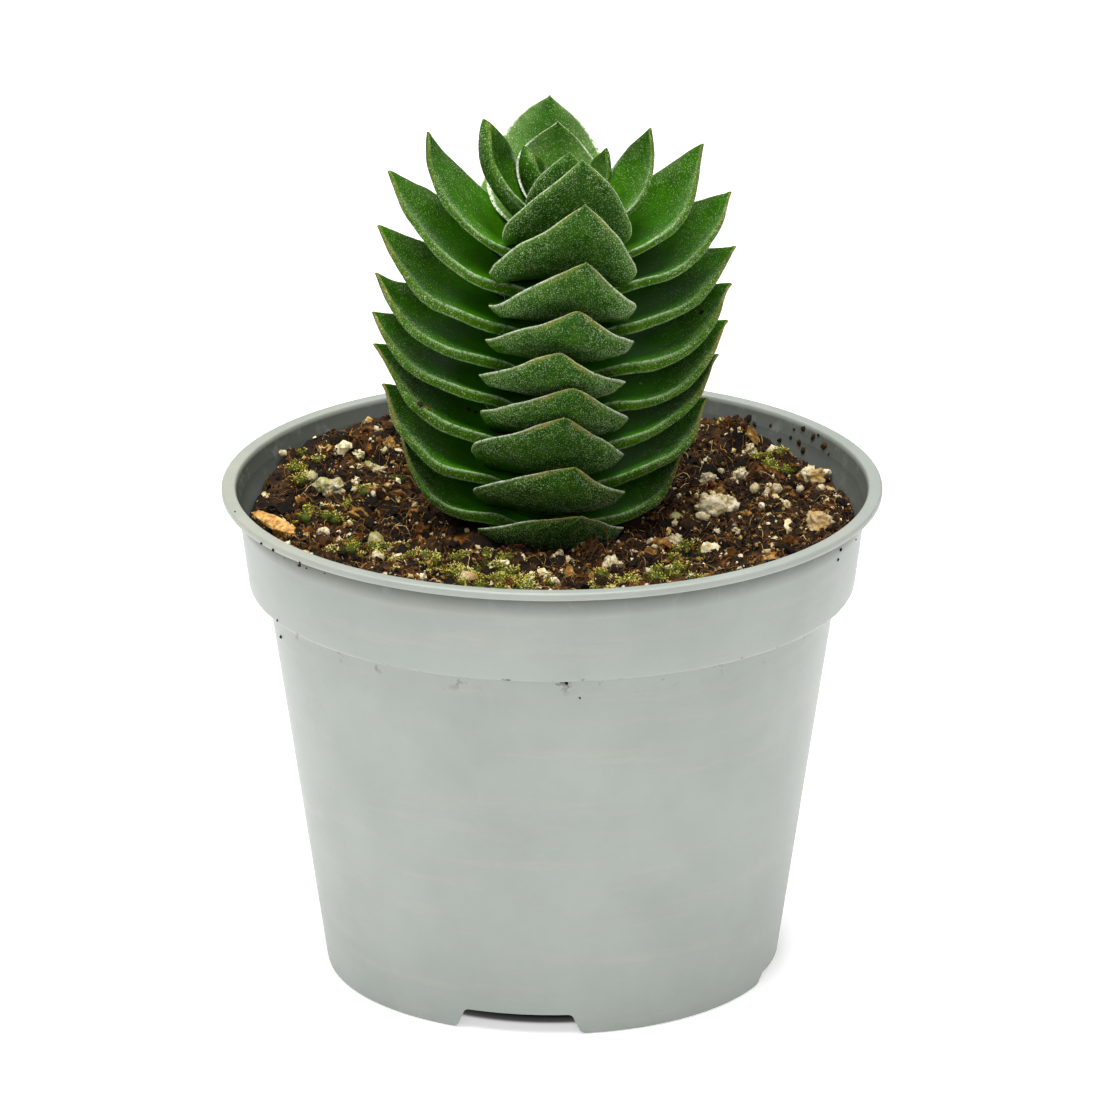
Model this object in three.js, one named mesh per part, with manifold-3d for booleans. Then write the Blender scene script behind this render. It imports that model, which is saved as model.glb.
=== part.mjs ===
// A potted Buddha's Temple crassula: a square column of paired leaves in a round nursery pot.
// Millimetres, +Z up. The origin is the middle of the pot's foot, and the front faces -Y.
import * as THREE from 'three'
import * as BufferGeometryUtils from 'three/addons/utils/BufferGeometryUtils.js'
import { ConvexGeometry } from 'three/addons/geometries/ConvexGeometry.js'
import Module from 'manifold-3d'

const wasm = await Module()
wasm.setup()
const { degToRad, lerp, smoothstep } = THREE.MathUtils

// Pot: one thin moulding with a collar, a turned-out lip and a foot ring with four notches
const POT_HEIGHT = 68.5
const POT_SIDES = 48
const RIM_RADIUS = 45
const LIP_THICKNESS = 1.1
const LIP_ROUNDING = 0.35
const WALL = 0.8
const COLLAR_TOP_RADIUS = 42.9
const COLLAR_FOOT_RADIUS = 41.3
const COLLAR_FOOT_HEIGHT = 54.6
const BODY_TOP_RADIUS = 38.9
const FOOT_RADIUS = 30.9
const FOOT_WALL = 1.4
const FLOOR_UNDERSIDE = 3.7
const FLOOR_THICKNESS = 0.9
const NOTCH_COUNT = 4
const NOTCH_WIDTH = 17
const NOTCH_HEIGHT = 3.4
const NOTCH_TURN_DEG = -8.6
const DRAIN_COUNT = 8
const DRAIN_RADIUS = 3
const DRAIN_CIRCLE = 20

// Soil: fills the pot to a lumpy surface, with beds for the lowest leaves and the loose pieces
const CLEARANCE = 0.3
const SOIL_HEIGHT = 63.6
const SOIL_SIDES = 40
const SOIL_RINGS = [4, 7, 10, 13, 16, 19.5, 24, 29, 34, 38]
const LUMP_WAVES = 5
const LUMP_HEIGHT = 0.35
const LUMP_SPAN = [9, 20]

// Plant: where its stem meets the soil, its lean, and the turn of its four ranks of leaves
const PLANT_X = -2.5
const LEAN_RIGHT_DEG = 4.6
const LEAN_BACK_DEG = 0.4
const RANK_TURN_DEG = 6.7
const STEM_DEPTH = 24
const STEM_FOOT_RADIUS = 3.4
const STEM_TOP_RADIUS = 0.8
const STEM_SIDES = 10
const BUD_RADIUS = 1.2
const BUD_HEIGHT = 5

// Leaf pairs, counted from the soil up, closer together towards the growing tip
const PAIR_COUNT = 20
const FIRST_NODE = -1.4
const INTERNODE = 2.75
const TOP_INTERNODE = 1.0
const CROWDING_STARTS = 11

// Growth of the leaves up the column: how far a tip stands from the stem and over its node, the
// half width, and how far the margins of front and back leaves stand over the midrib
const GROWTH = [
  { pair: 0, reach: 19.3, rise: 8.4, halfWidth: 10, frontCup: 1.2 },
  { pair: 1, reach: 19.3, rise: 9.2, halfWidth: 10, frontCup: 1.2 },
  { pair: 2, reach: 22.2, rise: 10.4, halfWidth: 10, frontCup: 1.2 },
  { pair: 4, reach: 22.8, rise: 12, halfWidth: 10, frontCup: 1.1 },
  { pair: 8, reach: 24.2, rise: 10.7, halfWidth: 10, frontCup: 1 },
  { pair: 11, reach: 24.3, rise: 11.5, halfWidth: 10, frontCup: 1 },
  { pair: 12, reach: 24, rise: 12.2, halfWidth: 10, frontCup: 0 },
  { pair: 14, reach: 21.8, rise: 15.4, halfWidth: 10.2, frontCup: -0.8 },
  { pair: 16, reach: 15, rise: 16.2, halfWidth: 9, frontCup: -0.6 },
  { pair: 17, reach: 11.2, rise: 15, halfWidth: 7.6, frontCup: 0.4 },
  { pair: 19, reach: 5.3, rise: 9.5, halfWidth: 3.8, frontCup: 0.8 },
]

// Small turns of the front and back leaves off their rank, from the soil up
const FRONT_TURNS_DEG = [9, 3, -1, 1, -4, 0, 1, -1, 0, -2]

// One leaf: broad, pointed and curved up, with a blunt margin that thins towards the tip
const YOUNG_FROM = 11.5
const BASE_SLOPE_DEG = [3, 20]
const TIP_SLOPE_DEG = [50, 112]
const LEAF_THICKNESS = 2.0
const MARGIN_THICKNESS = 1.7
const THINNEST = 0.7
const MARGIN_INSET = 0.35
const FRONT_WIDEST_AT = 0.36
const SIDE_WIDEST_AT = 0.26
const YOUNG_WIDEST_AT = 0.5
const BASE_HALF_WIDTH = [6, 2]
const OUTLINE_POWER = 2
const BASE_CUP = [-0.6, 1]
const SIDE_CUP = 1.1
const SIDE_TURN_DEG = 20
const FACE_TURN_ALONG = [0.2, 0.9]
const LEAF_STATIONS = [0.1, 0.2, 0.31, 0.44, 0.58, 0.72, 0.86, 1]
const LEAF_COLUMNS = [-1, -0.5, 0, 0.5, 1]

// Loose pieces bedded in the soil: place, then length, width and height, then turn in degrees
const PERLITE_GRAINS = [
  { x: 22.2, y: 1.7, size: [5.6, 3.8, 3.4], turn: 10 },
  { x: 25.9, y: 18.5, size: [3.4, 2.6, 2.4], turn: 60 },
  { x: 21.6, y: 13.6, size: [2.5, 2.2, 2.2], turn: 20 },
  { x: 36.2, y: -4.1, size: [4.4, 3.8, 3.6], turn: 80 },
  { x: 35.8, y: 13.4, size: [3.8, 3, 2.8], turn: 120 },
  { x: 32.3, y: -11.4, size: [2.3, 1.8, 1.8], turn: 30 },
  { x: 27.6, y: 25.8, size: [2.2, 1.8, 1.8], turn: 0 },
  { x: 16.8, y: -7.7, size: [2.4, 2.3, 2.2], turn: 45 },
  { x: 8.2, y: -20.4, size: [2.6, 2.4, 2.4], turn: 70 },
  { x: -27.2, y: 24.6, size: [2.4, 2.3, 2.2], turn: 15 },
  { x: -24.4, y: 20.2, size: [2.8, 1.9, 1.8], turn: 150 },
  { x: -30.3, y: 9, size: [4.6, 2.6, 2.4], turn: 165 },
]
const BARK_CHIP = { x: -36.6, y: -4.2, size: [6.4, 2.8, 2], turn: 110 }
const GRAIN_ROUGHNESS = 0.16
const GRAIN_LIFT = 0.1
const BARK_SEED = 40

const potMaterial = new THREE.MeshStandardMaterial({ color: 0xb2bcb8, roughness: 0.5, metalness: 0 })
const soilMaterial = new THREE.MeshStandardMaterial({ color: 0x3a2618, roughness: 0.95, metalness: 0 })
const leafMaterial = new THREE.MeshStandardMaterial({ color: 0x2f6422, roughness: 0.4, metalness: 0 })
const stemMaterial = new THREE.MeshStandardMaterial({ color: 0x5d6b35, roughness: 0.7, metalness: 0 })
const perliteMaterial = new THREE.MeshStandardMaterial({ color: 0xe2dfd2, roughness: 0.9, metalness: 0 })
const barkMaterial = new THREE.MeshStandardMaterial({ color: 0xa8814f, roughness: 0.85, metalness: 0 })

// Repeatable random numbers from 0 to 1
function seededRandom(seed) {
  let state = seed
  return () => {
    state = (state * 1664525 + 1013904223) % 4294967296
    return state / 4294967296
  }
}

// Geometry to solid and back
function solid(geometry) {
  const bare = geometry.clone()
  bare.deleteAttribute('normal')
  bare.deleteAttribute('uv')
  const merged = BufferGeometryUtils.mergeVertices(bare, 1e-4)
  const index = merged.index.array
  const kept = []
  for (let i = 0; i < index.length; i += 3) {
    const [a, b, c] = [index[i], index[i + 1], index[i + 2]]
    if (a !== b && b !== c && c !== a) kept.push(a, b, c)
  }
  const vertProperties = new Float32Array(merged.attributes.position.array)
  const triVerts = new Uint32Array(kept)
  return new wasm.Manifold(new wasm.Mesh({ numProp: 3, vertProperties, triVerts }))
}

function fromSolid(body) {
  const mesh = body.getMesh()
  const geometry = new THREE.BufferGeometry()
  geometry.setAttribute('position', new THREE.Float32BufferAttribute(mesh.vertProperties, 3))
  geometry.setIndex(Array.from(mesh.triVerts))
  return geometry
}

// A body of revolution round +Z from [radius, height] points, from the axis back to the axis
function turned(points, sides) {
  const profile = points.map(([radius, height]) => new THREE.Vector2(radius, height))
  return new THREE.LatheGeometry(profile, sides).rotateX(Math.PI / 2)
}

// The largest of a body's separate pieces
function largest(body) {
  const pieces = body.decompose()
  return pieces.reduce((best, piece) => (piece.volume() > best.volume() ? piece : best))
}

function named(name, geometry, material) {
  const mesh = new THREE.Mesh(geometry, material)
  mesh.name = name
  return mesh
}

// The pot's outer radius on the body and on the collar
function bodyRadius(height) {
  return lerp(FOOT_RADIUS, BODY_TOP_RADIUS, height / COLLAR_FOOT_HEIGHT)
}

function collarRadius(height) {
  const share = (height - COLLAR_FOOT_HEIGHT) / (POT_HEIGHT - COLLAR_FOOT_HEIGHT)
  return lerp(COLLAR_FOOT_RADIUS, COLLAR_TOP_RADIUS, share)
}

function potProfile() {
  const floorTop = FLOOR_UNDERSIDE + FLOOR_THICKNESS
  const shelf = COLLAR_FOOT_HEIGHT + WALL
  const lipFoot = POT_HEIGHT - LIP_THICKNESS
  const innerTop = COLLAR_TOP_RADIUS - WALL
  return [
    [0, FLOOR_UNDERSIDE],
    [FOOT_RADIUS - FOOT_WALL, FLOOR_UNDERSIDE],
    [FOOT_RADIUS - FOOT_WALL, 0],
    [FOOT_RADIUS, 0],
    [BODY_TOP_RADIUS, COLLAR_FOOT_HEIGHT],
    [COLLAR_FOOT_RADIUS - LIP_ROUNDING, COLLAR_FOOT_HEIGHT],
    [COLLAR_FOOT_RADIUS, COLLAR_FOOT_HEIGHT + LIP_ROUNDING],
    [collarRadius(lipFoot), lipFoot],
    [RIM_RADIUS - LIP_ROUNDING, lipFoot],
    [RIM_RADIUS, lipFoot + LIP_ROUNDING],
    [RIM_RADIUS, POT_HEIGHT - LIP_ROUNDING],
    [RIM_RADIUS - LIP_ROUNDING, POT_HEIGHT],
    [innerTop + LIP_ROUNDING, POT_HEIGHT],
    [innerTop, POT_HEIGHT - LIP_ROUNDING],
    [COLLAR_FOOT_RADIUS - WALL, shelf],
    [BODY_TOP_RADIUS - WALL, shelf],
    [bodyRadius(floorTop) - WALL, floorTop],
    [0, floorTop],
  ]
}

// The pot, notched through its foot ring and drained through its floor
function potGeometry() {
  let pot = solid(turned(potProfile(), POT_SIDES))
  for (let i = 0; i < NOTCH_COUNT; i++) {
    const notch = new THREE.BoxGeometry(NOTCH_WIDTH, FOOT_RADIUS, 2 * NOTCH_HEIGHT)
    notch.translate(0, -FOOT_RADIUS, 0)
    notch.rotateZ((i / NOTCH_COUNT) * 2 * Math.PI + degToRad(NOTCH_TURN_DEG))
    pot = pot.subtract(solid(notch))
  }
  for (let i = 0; i < DRAIN_COUNT; i++) {
    const angle = ((i + 0.5) / DRAIN_COUNT) * 2 * Math.PI
    const drain = new THREE.CylinderGeometry(DRAIN_RADIUS, DRAIN_RADIUS, 4 * FLOOR_THICKNESS, 12)
    drain.rotateX(Math.PI / 2)
    drain.translate(DRAIN_CIRCLE * Math.cos(angle), DRAIN_CIRCLE * Math.sin(angle), FLOOR_UNDERSIDE)
    pot = pot.subtract(solid(drain))
  }
  return fromSolid(pot)
}

// Broad lumps of the soil's surface: a few waves of seeded length, direction and phase
const lumpWaves = (() => {
  const random = seededRandom(11)
  return Array.from({ length: LUMP_WAVES }, () => {
    const direction = random() * Math.PI
    const turns = (2 * Math.PI) / lerp(LUMP_SPAN[0], LUMP_SPAN[1], random())
    return { x: Math.cos(direction) * turns, y: Math.sin(direction) * turns, phase: random() * 6 }
  })
})()

function soilHeight(x, y) {
  const lumps = lumpWaves.map((wave) => Math.sin(wave.x * x + wave.y * y + wave.phase))
  return SOIL_HEIGHT + LUMP_HEIGHT * lumps.reduce((sum, lump) => sum + lump, 0)
}

// The soil: its surface out to the wall, then its side down the wall and its flat underside
function soilGeometry() {
  const shelf = COLLAR_FOOT_HEIGHT + WALL
  const floor = FLOOR_UNDERSIDE + FLOOR_THICKNESS + CLEARANCE
  const edge = collarRadius(SOIL_HEIGHT) - WALL - 2 * CLEARANCE
  const side = [
    [COLLAR_FOOT_RADIUS - WALL - CLEARANCE, shelf + CLEARANCE],
    [BODY_TOP_RADIUS - WALL - CLEARANCE, shelf + CLEARANCE],
    [bodyRadius(floor) - WALL - CLEARANCE, floor],
  ]
  const rings = [...SOIL_RINGS, edge].map((radius) => ({ radius, height: null }))
  rings.push(...side.map(([radius, height]) => ({ radius, height })))
  const positions = [0, 0, soilHeight(0, 0)]
  for (const ring of rings) {
    for (let i = 0; i < SOIL_SIDES; i++) {
      const angle = (i / SOIL_SIDES) * 2 * Math.PI
      const x = ring.radius * Math.cos(angle)
      const y = ring.radius * Math.sin(angle)
      positions.push(x, y, ring.height ?? soilHeight(x, y))
    }
  }
  positions.push(0, 0, floor)
  const index = []
  const at = (ring, i) => 1 + ring * SOIL_SIDES + (i % SOIL_SIDES)
  for (let i = 0; i < SOIL_SIDES; i++) {
    index.push(0, at(0, i), at(0, i + 1))
    for (let ring = 0; ring < rings.length - 1; ring++) {
      index.push(at(ring, i), at(ring + 1, i), at(ring + 1, i + 1))
      index.push(at(ring, i), at(ring + 1, i + 1), at(ring, i + 1))
    }
    index.push(at(rings.length - 1, i), positions.length / 3 - 1, at(rings.length - 1, i + 1))
  }
  const geometry = new THREE.BufferGeometry()
  geometry.setAttribute('position', new THREE.Float32BufferAttribute(positions, 3))
  geometry.setIndex(index)
  return geometry
}

// A rough grain: a ball of seeded dents, stretched to its size and laid on the soil
function grainGeometry(grain, seed, margin = 0) {
  const random = seededRandom(seed)
  const geometry = BufferGeometryUtils.mergeVertices(bareBall())
  const position = geometry.attributes.position
  for (let i = 0; i < position.count; i++) {
    const dent = 1 + GRAIN_ROUGHNESS * (2 * random() - 1)
    const half = grain.size.map((length) => (length / 2) * dent + margin)
    position.setXYZ(i, position.getX(i) * half[0], position.getY(i) * half[1], position.getZ(i) * half[2])
  }
  geometry.rotateZ(degToRad(grain.turn))
  return geometry.translate(grain.x, grain.y, soilHeight(grain.x, grain.y) + GRAIN_LIFT * grain.size[2])
}

function bareBall() {
  const ball = new THREE.IcosahedronGeometry(1, 1)
  ball.deleteAttribute('normal')
  ball.deleteAttribute('uv')
  return ball
}

// The plant's frame: +Z up the stem, +X along the right-hand rank, origin at soil level
function plantFrame() {
  const turn = degToRad(RANK_TURN_DEG)
  const axis = new THREE.Vector3(Math.sin(degToRad(LEAN_RIGHT_DEG)), Math.sin(degToRad(LEAN_BACK_DEG)), 0)
  axis.z = Math.sqrt(1 - axis.lengthSq())
  const right = new THREE.Vector3(Math.cos(turn), Math.sin(turn), 0)
  right.addScaledVector(axis, -right.dot(axis)).normalize()
  const back = new THREE.Vector3().crossVectors(axis, right)
  return new THREE.Matrix4().makeBasis(right, back, axis).setPosition(PLANT_X, 0, SOIL_HEIGHT)
}

const nodeHeights = (() => {
  const heights = [FIRST_NODE]
  for (let pair = 1; pair < PAIR_COUNT; pair++) {
    const crowding = smoothstep(pair, CROWDING_STARTS, PAIR_COUNT - 1)
    heights.push(heights[pair - 1] + lerp(INTERNODE, TOP_INTERNODE, crowding))
  }
  return heights
})()
const topNode = nodeHeights[PAIR_COUNT - 1]

function stemRadius(height) {
  const share = THREE.MathUtils.clamp(height / topNode, 0, 1)
  return lerp(STEM_FOOT_RADIUS, STEM_TOP_RADIUS, share ** 1.5)
}

// The stem, from its end in the soil to just under the growing tip, or its hole with a margin
function stemGeometry(margin = 0) {
  const top = topNode + CLEARANCE
  const points = [[0, -STEM_DEPTH - margin]]
  for (const height of [-STEM_DEPTH - margin, 0, topNode * 0.4, topNode * 0.7, topNode * 0.88]) {
    points.push([stemRadius(height) + margin, height])
  }
  points.push([STEM_TOP_RADIUS + margin, top + margin], [0, top + margin])
  return turned(points, STEM_SIDES)
}

function budGeometry() {
  const foot = topNode + 2 * CLEARANCE
  const points = [[0, foot], [BUD_RADIUS * 0.4, foot], [BUD_RADIUS, foot + BUD_HEIGHT * 0.4]]
  points.push([BUD_RADIUS * 0.7, foot + BUD_HEIGHT * 0.7], [0, foot + BUD_HEIGHT])
  return turned(points, 8)
}

function grown(pair, key) {
  const next = Math.max(1, GROWTH.findIndex((stage) => stage.pair >= pair))
  const [low, high] = [GROWTH[next - 1], GROWTH[next]]
  return lerp(low[key], high[key], (pair - low.pair) / (high.pair - low.pair))
}

// The sizes of one pair's leaves. Pairs are by turns front and back, and left and right
function leafSizes(pair) {
  const youth = smoothstep(pair, YOUNG_FROM, PAIR_COUNT - 1)
  return {
    reach: grown(pair, 'reach'),
    rise: grown(pair, 'rise'),
    halfWidth: grown(pair, 'halfWidth'),
    cup: pair % 2 ? SIDE_CUP : grown(pair, 'frontCup'),
    baseSlope: degToRad(lerp(...BASE_SLOPE_DEG, youth ** 2)),
    tipSlope: degToRad(lerp(...TIP_SLOPE_DEG, youth)),
    faceTurn: pair % 2 ? degToRad(SIDE_TURN_DEG) : 0,
    thickness: lerp(LEAF_THICKNESS, THINNEST, youth),
    margin: lerp(MARGIN_THICKNESS, THINNEST, youth),
    widestAt: lerp(pair % 2 ? SIDE_WIDEST_AT : FRONT_WIDEST_AT, YOUNG_WIDEST_AT, youth ** 3),
    baseShare: lerp(...BASE_HALF_WIDTH, youth) / grown(pair, 'halfWidth'),
    baseCup: lerp(...BASE_CUP, youth),
  }
}

// The midrib seen from the side: distance from the stem, and height over the node
function midrib(sizes) {
  const chord = Math.hypot(sizes.reach, sizes.rise)
  const tip = new THREE.Vector2(sizes.reach, sizes.rise)
  const fromStem = new THREE.Vector2(Math.cos(sizes.baseSlope), Math.sin(sizes.baseSlope))
  const toTip = new THREE.Vector2(Math.cos(sizes.tipSlope), Math.sin(sizes.tipSlope))
  return new THREE.CubicBezierCurve(
    new THREE.Vector2(0, 0),
    fromStem.multiplyScalar(chord * 0.45),
    tip.clone().addScaledVector(toTip, -chord * 0.3),
    tip,
  )
}

// The share of the half width at s, from 0 at the stem to 1 at the tip
function outlineShare(sizes, s) {
  if (s < sizes.widestAt) return lerp(sizes.baseShare, 1, Math.sin((Math.PI / 2) * (s / sizes.widestAt)))
  return 1 - ((s - sizes.widestAt) / (1 - sizes.widestAt)) ** OUTLINE_POWER
}

// How far the margins stand over the midrib at s: the blade is cupped, but not at the stem
function cupAt(sizes, s) {
  const open = smoothstep(s, 0, sizes.widestAt)
  return lerp(sizes.baseCup, sizes.cup, open) * Math.sqrt(outlineShare(sizes, s))
}

// One crosswise row of a leaf at s, on side 1 or -1: points of its upper and its lower face
function leafRow(sizes, curve, s, side) {
  const point = curve.getPoint(s)
  const along = s === 0 ? new THREE.Vector2(1, 0) : curve.getTangent(s)
  const width = sizes.halfWidth * outlineShare(sizes, s)
  const turn = sizes.faceTurn * side * smoothstep(s, ...FACE_TURN_ALONG)
  const middle = lerp(sizes.thickness, THINNEST, s ** 3)
  const edge = lerp(sizes.margin, THINNEST, s ** 3)
  const place = (offset, across) => {
    const up = offset * Math.cos(turn) + across * Math.sin(turn)
    const over = across * Math.cos(turn) - offset * Math.sin(turn)
    return new THREE.Vector3(side * (point.x - along.y * up), side * over, point.y + along.x * up)
  }
  const row = LEAF_COLUMNS.map((v) => {
    const lift = cupAt(sizes, s) * v * v
    const depth = lerp(middle, edge, v * v)
    const inner = v * Math.max(width - MARGIN_INSET, 0)
    return { upper: place(lift, v * width), lower: place(lift - depth, inner) }
  })
  return side < 0 ? row.reverse() : row
}

// A closed slab from rows of upper and lower points, each face split into triangles alike
function slabGeometry(rows) {
  const columns = rows[0].length
  const below = rows.length * columns
  const last = rows.length - 1
  const points = ['upper', 'lower'].flatMap((face) => rows.flatMap((row) => row.map((cell) => cell[face])))
  const index = []
  const at = (r, c) => r * columns + c
  const wall = (a, b) => index.push(a, b, b + below, a, b + below, a + below)
  for (let r = 0; r < last; r++) {
    for (let c = 0; c < columns - 1; c++) {
      const [p, q, s, t] = [at(r, c), at(r + 1, c), at(r + 1, c + 1), at(r, c + 1)]
      index.push(p, q, s, p, s, t)
      index.push(p + below, s + below, q + below, p + below, t + below, s + below)
    }
    wall(at(r + 1, 0), at(r, 0))
    wall(at(r, columns - 1), at(r + 1, columns - 1))
  }
  for (let c = 0; c < columns - 1; c++) {
    wall(at(0, c), at(0, c + 1))
    wall(at(last, c + 1), at(last, c))
  }
  return new THREE.BufferGeometry().setFromPoints(points).setIndex(index)
}

// A pair of opposite leaves, grown together at the base, in the plant's frame
function leafPairGeometry(pair) {
  const sizes = leafSizes(pair)
  const curve = midrib(sizes)
  const rows = [...LEAF_STATIONS].reverse().map((s) => leafRow(sizes, curve, s, -1))
  rows.push(leafRow(sizes, curve, 0, 1))
  rows.push(...LEAF_STATIONS.map((s) => leafRow(sizes, curve, s, 1)))
  const offRank = pair % 2 ? 0 : FRONT_TURNS_DEG[pair / 2] - 90
  return slabGeometry(rows).rotateZ(degToRad(offRank)).translate(0, 0, nodeHeights[pair])
}

// A body spread by the clearance halfway out to the tips of a pair, and shifted up or down by it
function spaced(body, pair, steps) {
  const spread = 1 + (2 * CLEARANCE) / grown(pair, 'reach')
  return body.scale([spread, spread, 1]).translate([0, 0, steps * CLEARANCE])
}

// All pairs, from the soil up: each has a hole for the stem and is dented by the pair above it
function leafPairs() {
  const passage = solid(stemGeometry(CLEARANCE))
  const pairs = []
  let above = null
  for (let pair = PAIR_COUNT - 1; pair >= 0; pair--) {
    const cuts = above ? [-1, 1].map((steps) => spaced(above, pair + 1, steps)) : []
    above = largest(wasm.Manifold.difference([solid(leafPairGeometry(pair)), passage, ...cuts]))
    pairs.unshift(above)
  }
  return pairs
}

// The bed of a pair in the soil: everything between and over its leaves
function bedGeometry(pair) {
  const position = leafPairGeometry(pair).attributes.position
  const points = []
  for (let i = 0; i < position.count; i++) points.push(new THREE.Vector3().fromBufferAttribute(position, i))
  return new ConvexGeometry(points)
}

function plantGroup(pairs) {
  const plant = new THREE.Group()
  plant.applyMatrix4(plantFrame())
  plant.add(named('stem', stemGeometry(), stemMaterial))
  pairs.forEach((body, pair) => {
    plant.add(named(`leaf_pair_${String(pair + 1).padStart(2, '0')}`, fromSolid(body), leafMaterial))
  })
  plant.add(named('growing_tip', budGeometry(), leafMaterial))
  return plant
}

// The loose pieces, and the soil with its holes and beds
function soilGroup() {
  const group = new THREE.Group()
  const cuts = [solid(stemGeometry(CLEARANCE).applyMatrix4(plantFrame()))]
  for (const pair of [0, 1]) {
    const bed = spaced(solid(bedGeometry(pair)), pair, -1)
    cuts.push(bed.transform(plantFrame().elements))
  }
  PERLITE_GRAINS.forEach((grain, i) => {
    const name = `perlite_grain_${String(i + 1).padStart(2, '0')}`
    group.add(named(name, grainGeometry(grain, i + 1), perliteMaterial))
    cuts.push(solid(grainGeometry(grain, i + 1, CLEARANCE)))
  })
  group.add(named('bark_chip', grainGeometry(BARK_CHIP, BARK_SEED), barkMaterial))
  cuts.push(solid(grainGeometry(BARK_CHIP, BARK_SEED, CLEARANCE)))
  const soil = cuts.reduce((body, cut) => body.subtract(cut), solid(soilGeometry()))
  group.add(named('soil', fromSolid(largest(soil)), soilMaterial))
  return group
}

const object = new THREE.Group()
object.add(named('pot', potGeometry(), potMaterial))
object.add(soilGroup())
object.add(plantGroup(leafPairs()))

export default object
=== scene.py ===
# %% [markdown]
# A potted crassula of the kind that stacks its leaves. They grow in opposite pairs, each pair at
# right angles to the next, so the shoot is a square column with four ranks of leaves. It stands in
# peat with pale grit, in a thin grey plastic pot as nurseries use them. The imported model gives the
# sizes and places, and this lesson makes the fine surfaces and the finishes round it.

# %% Load the frame
import math
import bmesh
import bpy
import numpy as np
from mathutils import Matrix, Quaternion, Vector, noise
from mathutils.bvhtree import BVHTree


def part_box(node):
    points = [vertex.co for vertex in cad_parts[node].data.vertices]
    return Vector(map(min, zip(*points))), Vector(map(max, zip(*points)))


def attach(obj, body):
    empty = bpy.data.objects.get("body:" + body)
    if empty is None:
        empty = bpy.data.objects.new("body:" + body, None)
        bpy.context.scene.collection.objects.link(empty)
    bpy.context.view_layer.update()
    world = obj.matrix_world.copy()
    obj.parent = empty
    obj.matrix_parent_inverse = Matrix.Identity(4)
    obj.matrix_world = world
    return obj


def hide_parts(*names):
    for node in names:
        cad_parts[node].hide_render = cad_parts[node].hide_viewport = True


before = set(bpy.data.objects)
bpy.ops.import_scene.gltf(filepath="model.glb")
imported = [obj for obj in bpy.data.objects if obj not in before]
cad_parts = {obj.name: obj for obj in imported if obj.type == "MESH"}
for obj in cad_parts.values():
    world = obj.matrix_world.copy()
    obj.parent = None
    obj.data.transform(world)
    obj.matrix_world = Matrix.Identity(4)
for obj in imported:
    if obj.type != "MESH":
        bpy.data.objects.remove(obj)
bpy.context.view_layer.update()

# %% [markdown]
# Blender works in metres, and a plant like this is easier to think of in millimetres. All points
# below are in millimetres, and one function scales them when it turns them into a mesh. A mesh
# could be made with operators too, but lists of points and faces say exactly where things are.

# %% From points and faces to a piece
MM = 0.001


def add_piece(name, points, faces, material, nodes=(), sharp_deg=None):
    """Makes a piece from points in millimetres, and lets it ride on the only body."""
    mesh = bpy.data.meshes.new(name)
    mesh.from_pydata((np.asarray(points) * MM).tolist(), [], [list(map(int, face)) for face in faces])
    mesh.validate()
    mesh.shade_smooth()
    if sharp_deg is not None:
        mesh.set_sharp_from_angle(angle=math.radians(sharp_deg))
    mesh.materials.append(material)
    piece = bpy.data.objects.new(name, mesh)
    bpy.context.scene.collection.objects.link(piece)
    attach(piece, "root")
    if nodes:
        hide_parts(*nodes)
    return piece


def set_number(piece, name, values):
    """Stores one number for each point of a piece, for a material to read."""
    attribute = piece.data.attributes.new(name, "FLOAT", "POINT")
    attribute.data.foreach_set("value", np.asarray(values, np.float32))


print("one unit of the numbers below is", MM, "m")

# %% [markdown]
# Colours are written as the hex values that a colour picker shows, and Blender's shaders count in
# linear light, so one function turns the first into the second. A second fills a socket with a value
# or a link. A third adds a node with its settings and what feeds it. It serves every kind of node, so
# each material below reads as a recipe in the words of Blender's own nodes.

# %% Colours and nodes
def linear(hex_colour):
    """The linear colour of an sRGB hex value."""
    shares = [int(hex_colour[i:i + 2], 16) / 255 for i in (1, 3, 5)]
    return [c / 12.92 if c <= 0.04045 else ((c + 0.055) / 1.055) ** 2.4 for c in shares] + [1]


def feed(value, socket):
    """Gives a socket a value or a hex colour, or links it to a socket or a node's first output."""
    if isinstance(value, bpy.types.Node):
        value = next(output for output in value.outputs if output.enabled)
    if isinstance(value, bpy.types.NodeSocket):
        socket.id_data.links.new(value, socket)
    else:
        socket.default_value = linear(value) if isinstance(value, str) else value


def node(tree, kind, inputs=None, ramp=None, **settings):
    """Adds a node with its settings, what feeds its inputs, and its ramp of (place, colour) stops."""
    made = tree.nodes.new("ShaderNode" + kind)
    for name, value in settings.items():
        setattr(made, name, value)
    if ramp:
        stops = made.color_ramp.elements
        while len(stops) < len(ramp):
            stops.new(1)
        for stop, (place, colour) in zip(stops, ramp):
            stop.position = place
            stop.color = linear(colour)
    for name, value in (inputs or {}).items():
        in_use = [socket for socket in made.inputs if socket.enabled and socket.name == name]
        feed(value, in_use[0] if in_use else made.inputs[name])
    return made


def new_material(name, **surface):
    """A material with its shader: returns the material, its tree, its shader and its coordinates."""
    material = bpy.data.materials.new(name)
    material.use_nodes = True
    tree = material.node_tree
    shader = tree.nodes["Principled BSDF"]
    for socket, value in surface.items():
        shader.inputs[socket.replace("_", " ")].default_value = value
    return material, tree, shader, node(tree, "TexCoord").outputs["Object"]


def per_mm(size):
    """The texture scale at which one cell of a pattern is this many millimetres wide."""
    return 1 / (size * MM)


print("mid grey in linear light", round(linear("#808080")[0], 3))

# %% [markdown]
# The camera comes first, because it decides how much detail shows. It looks down at the pot from
# 19.45 degrees with a long lens, as for a catalogue picture. The distance and the lens follow from
# how little the back of the rim shrinks against its front.

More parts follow.
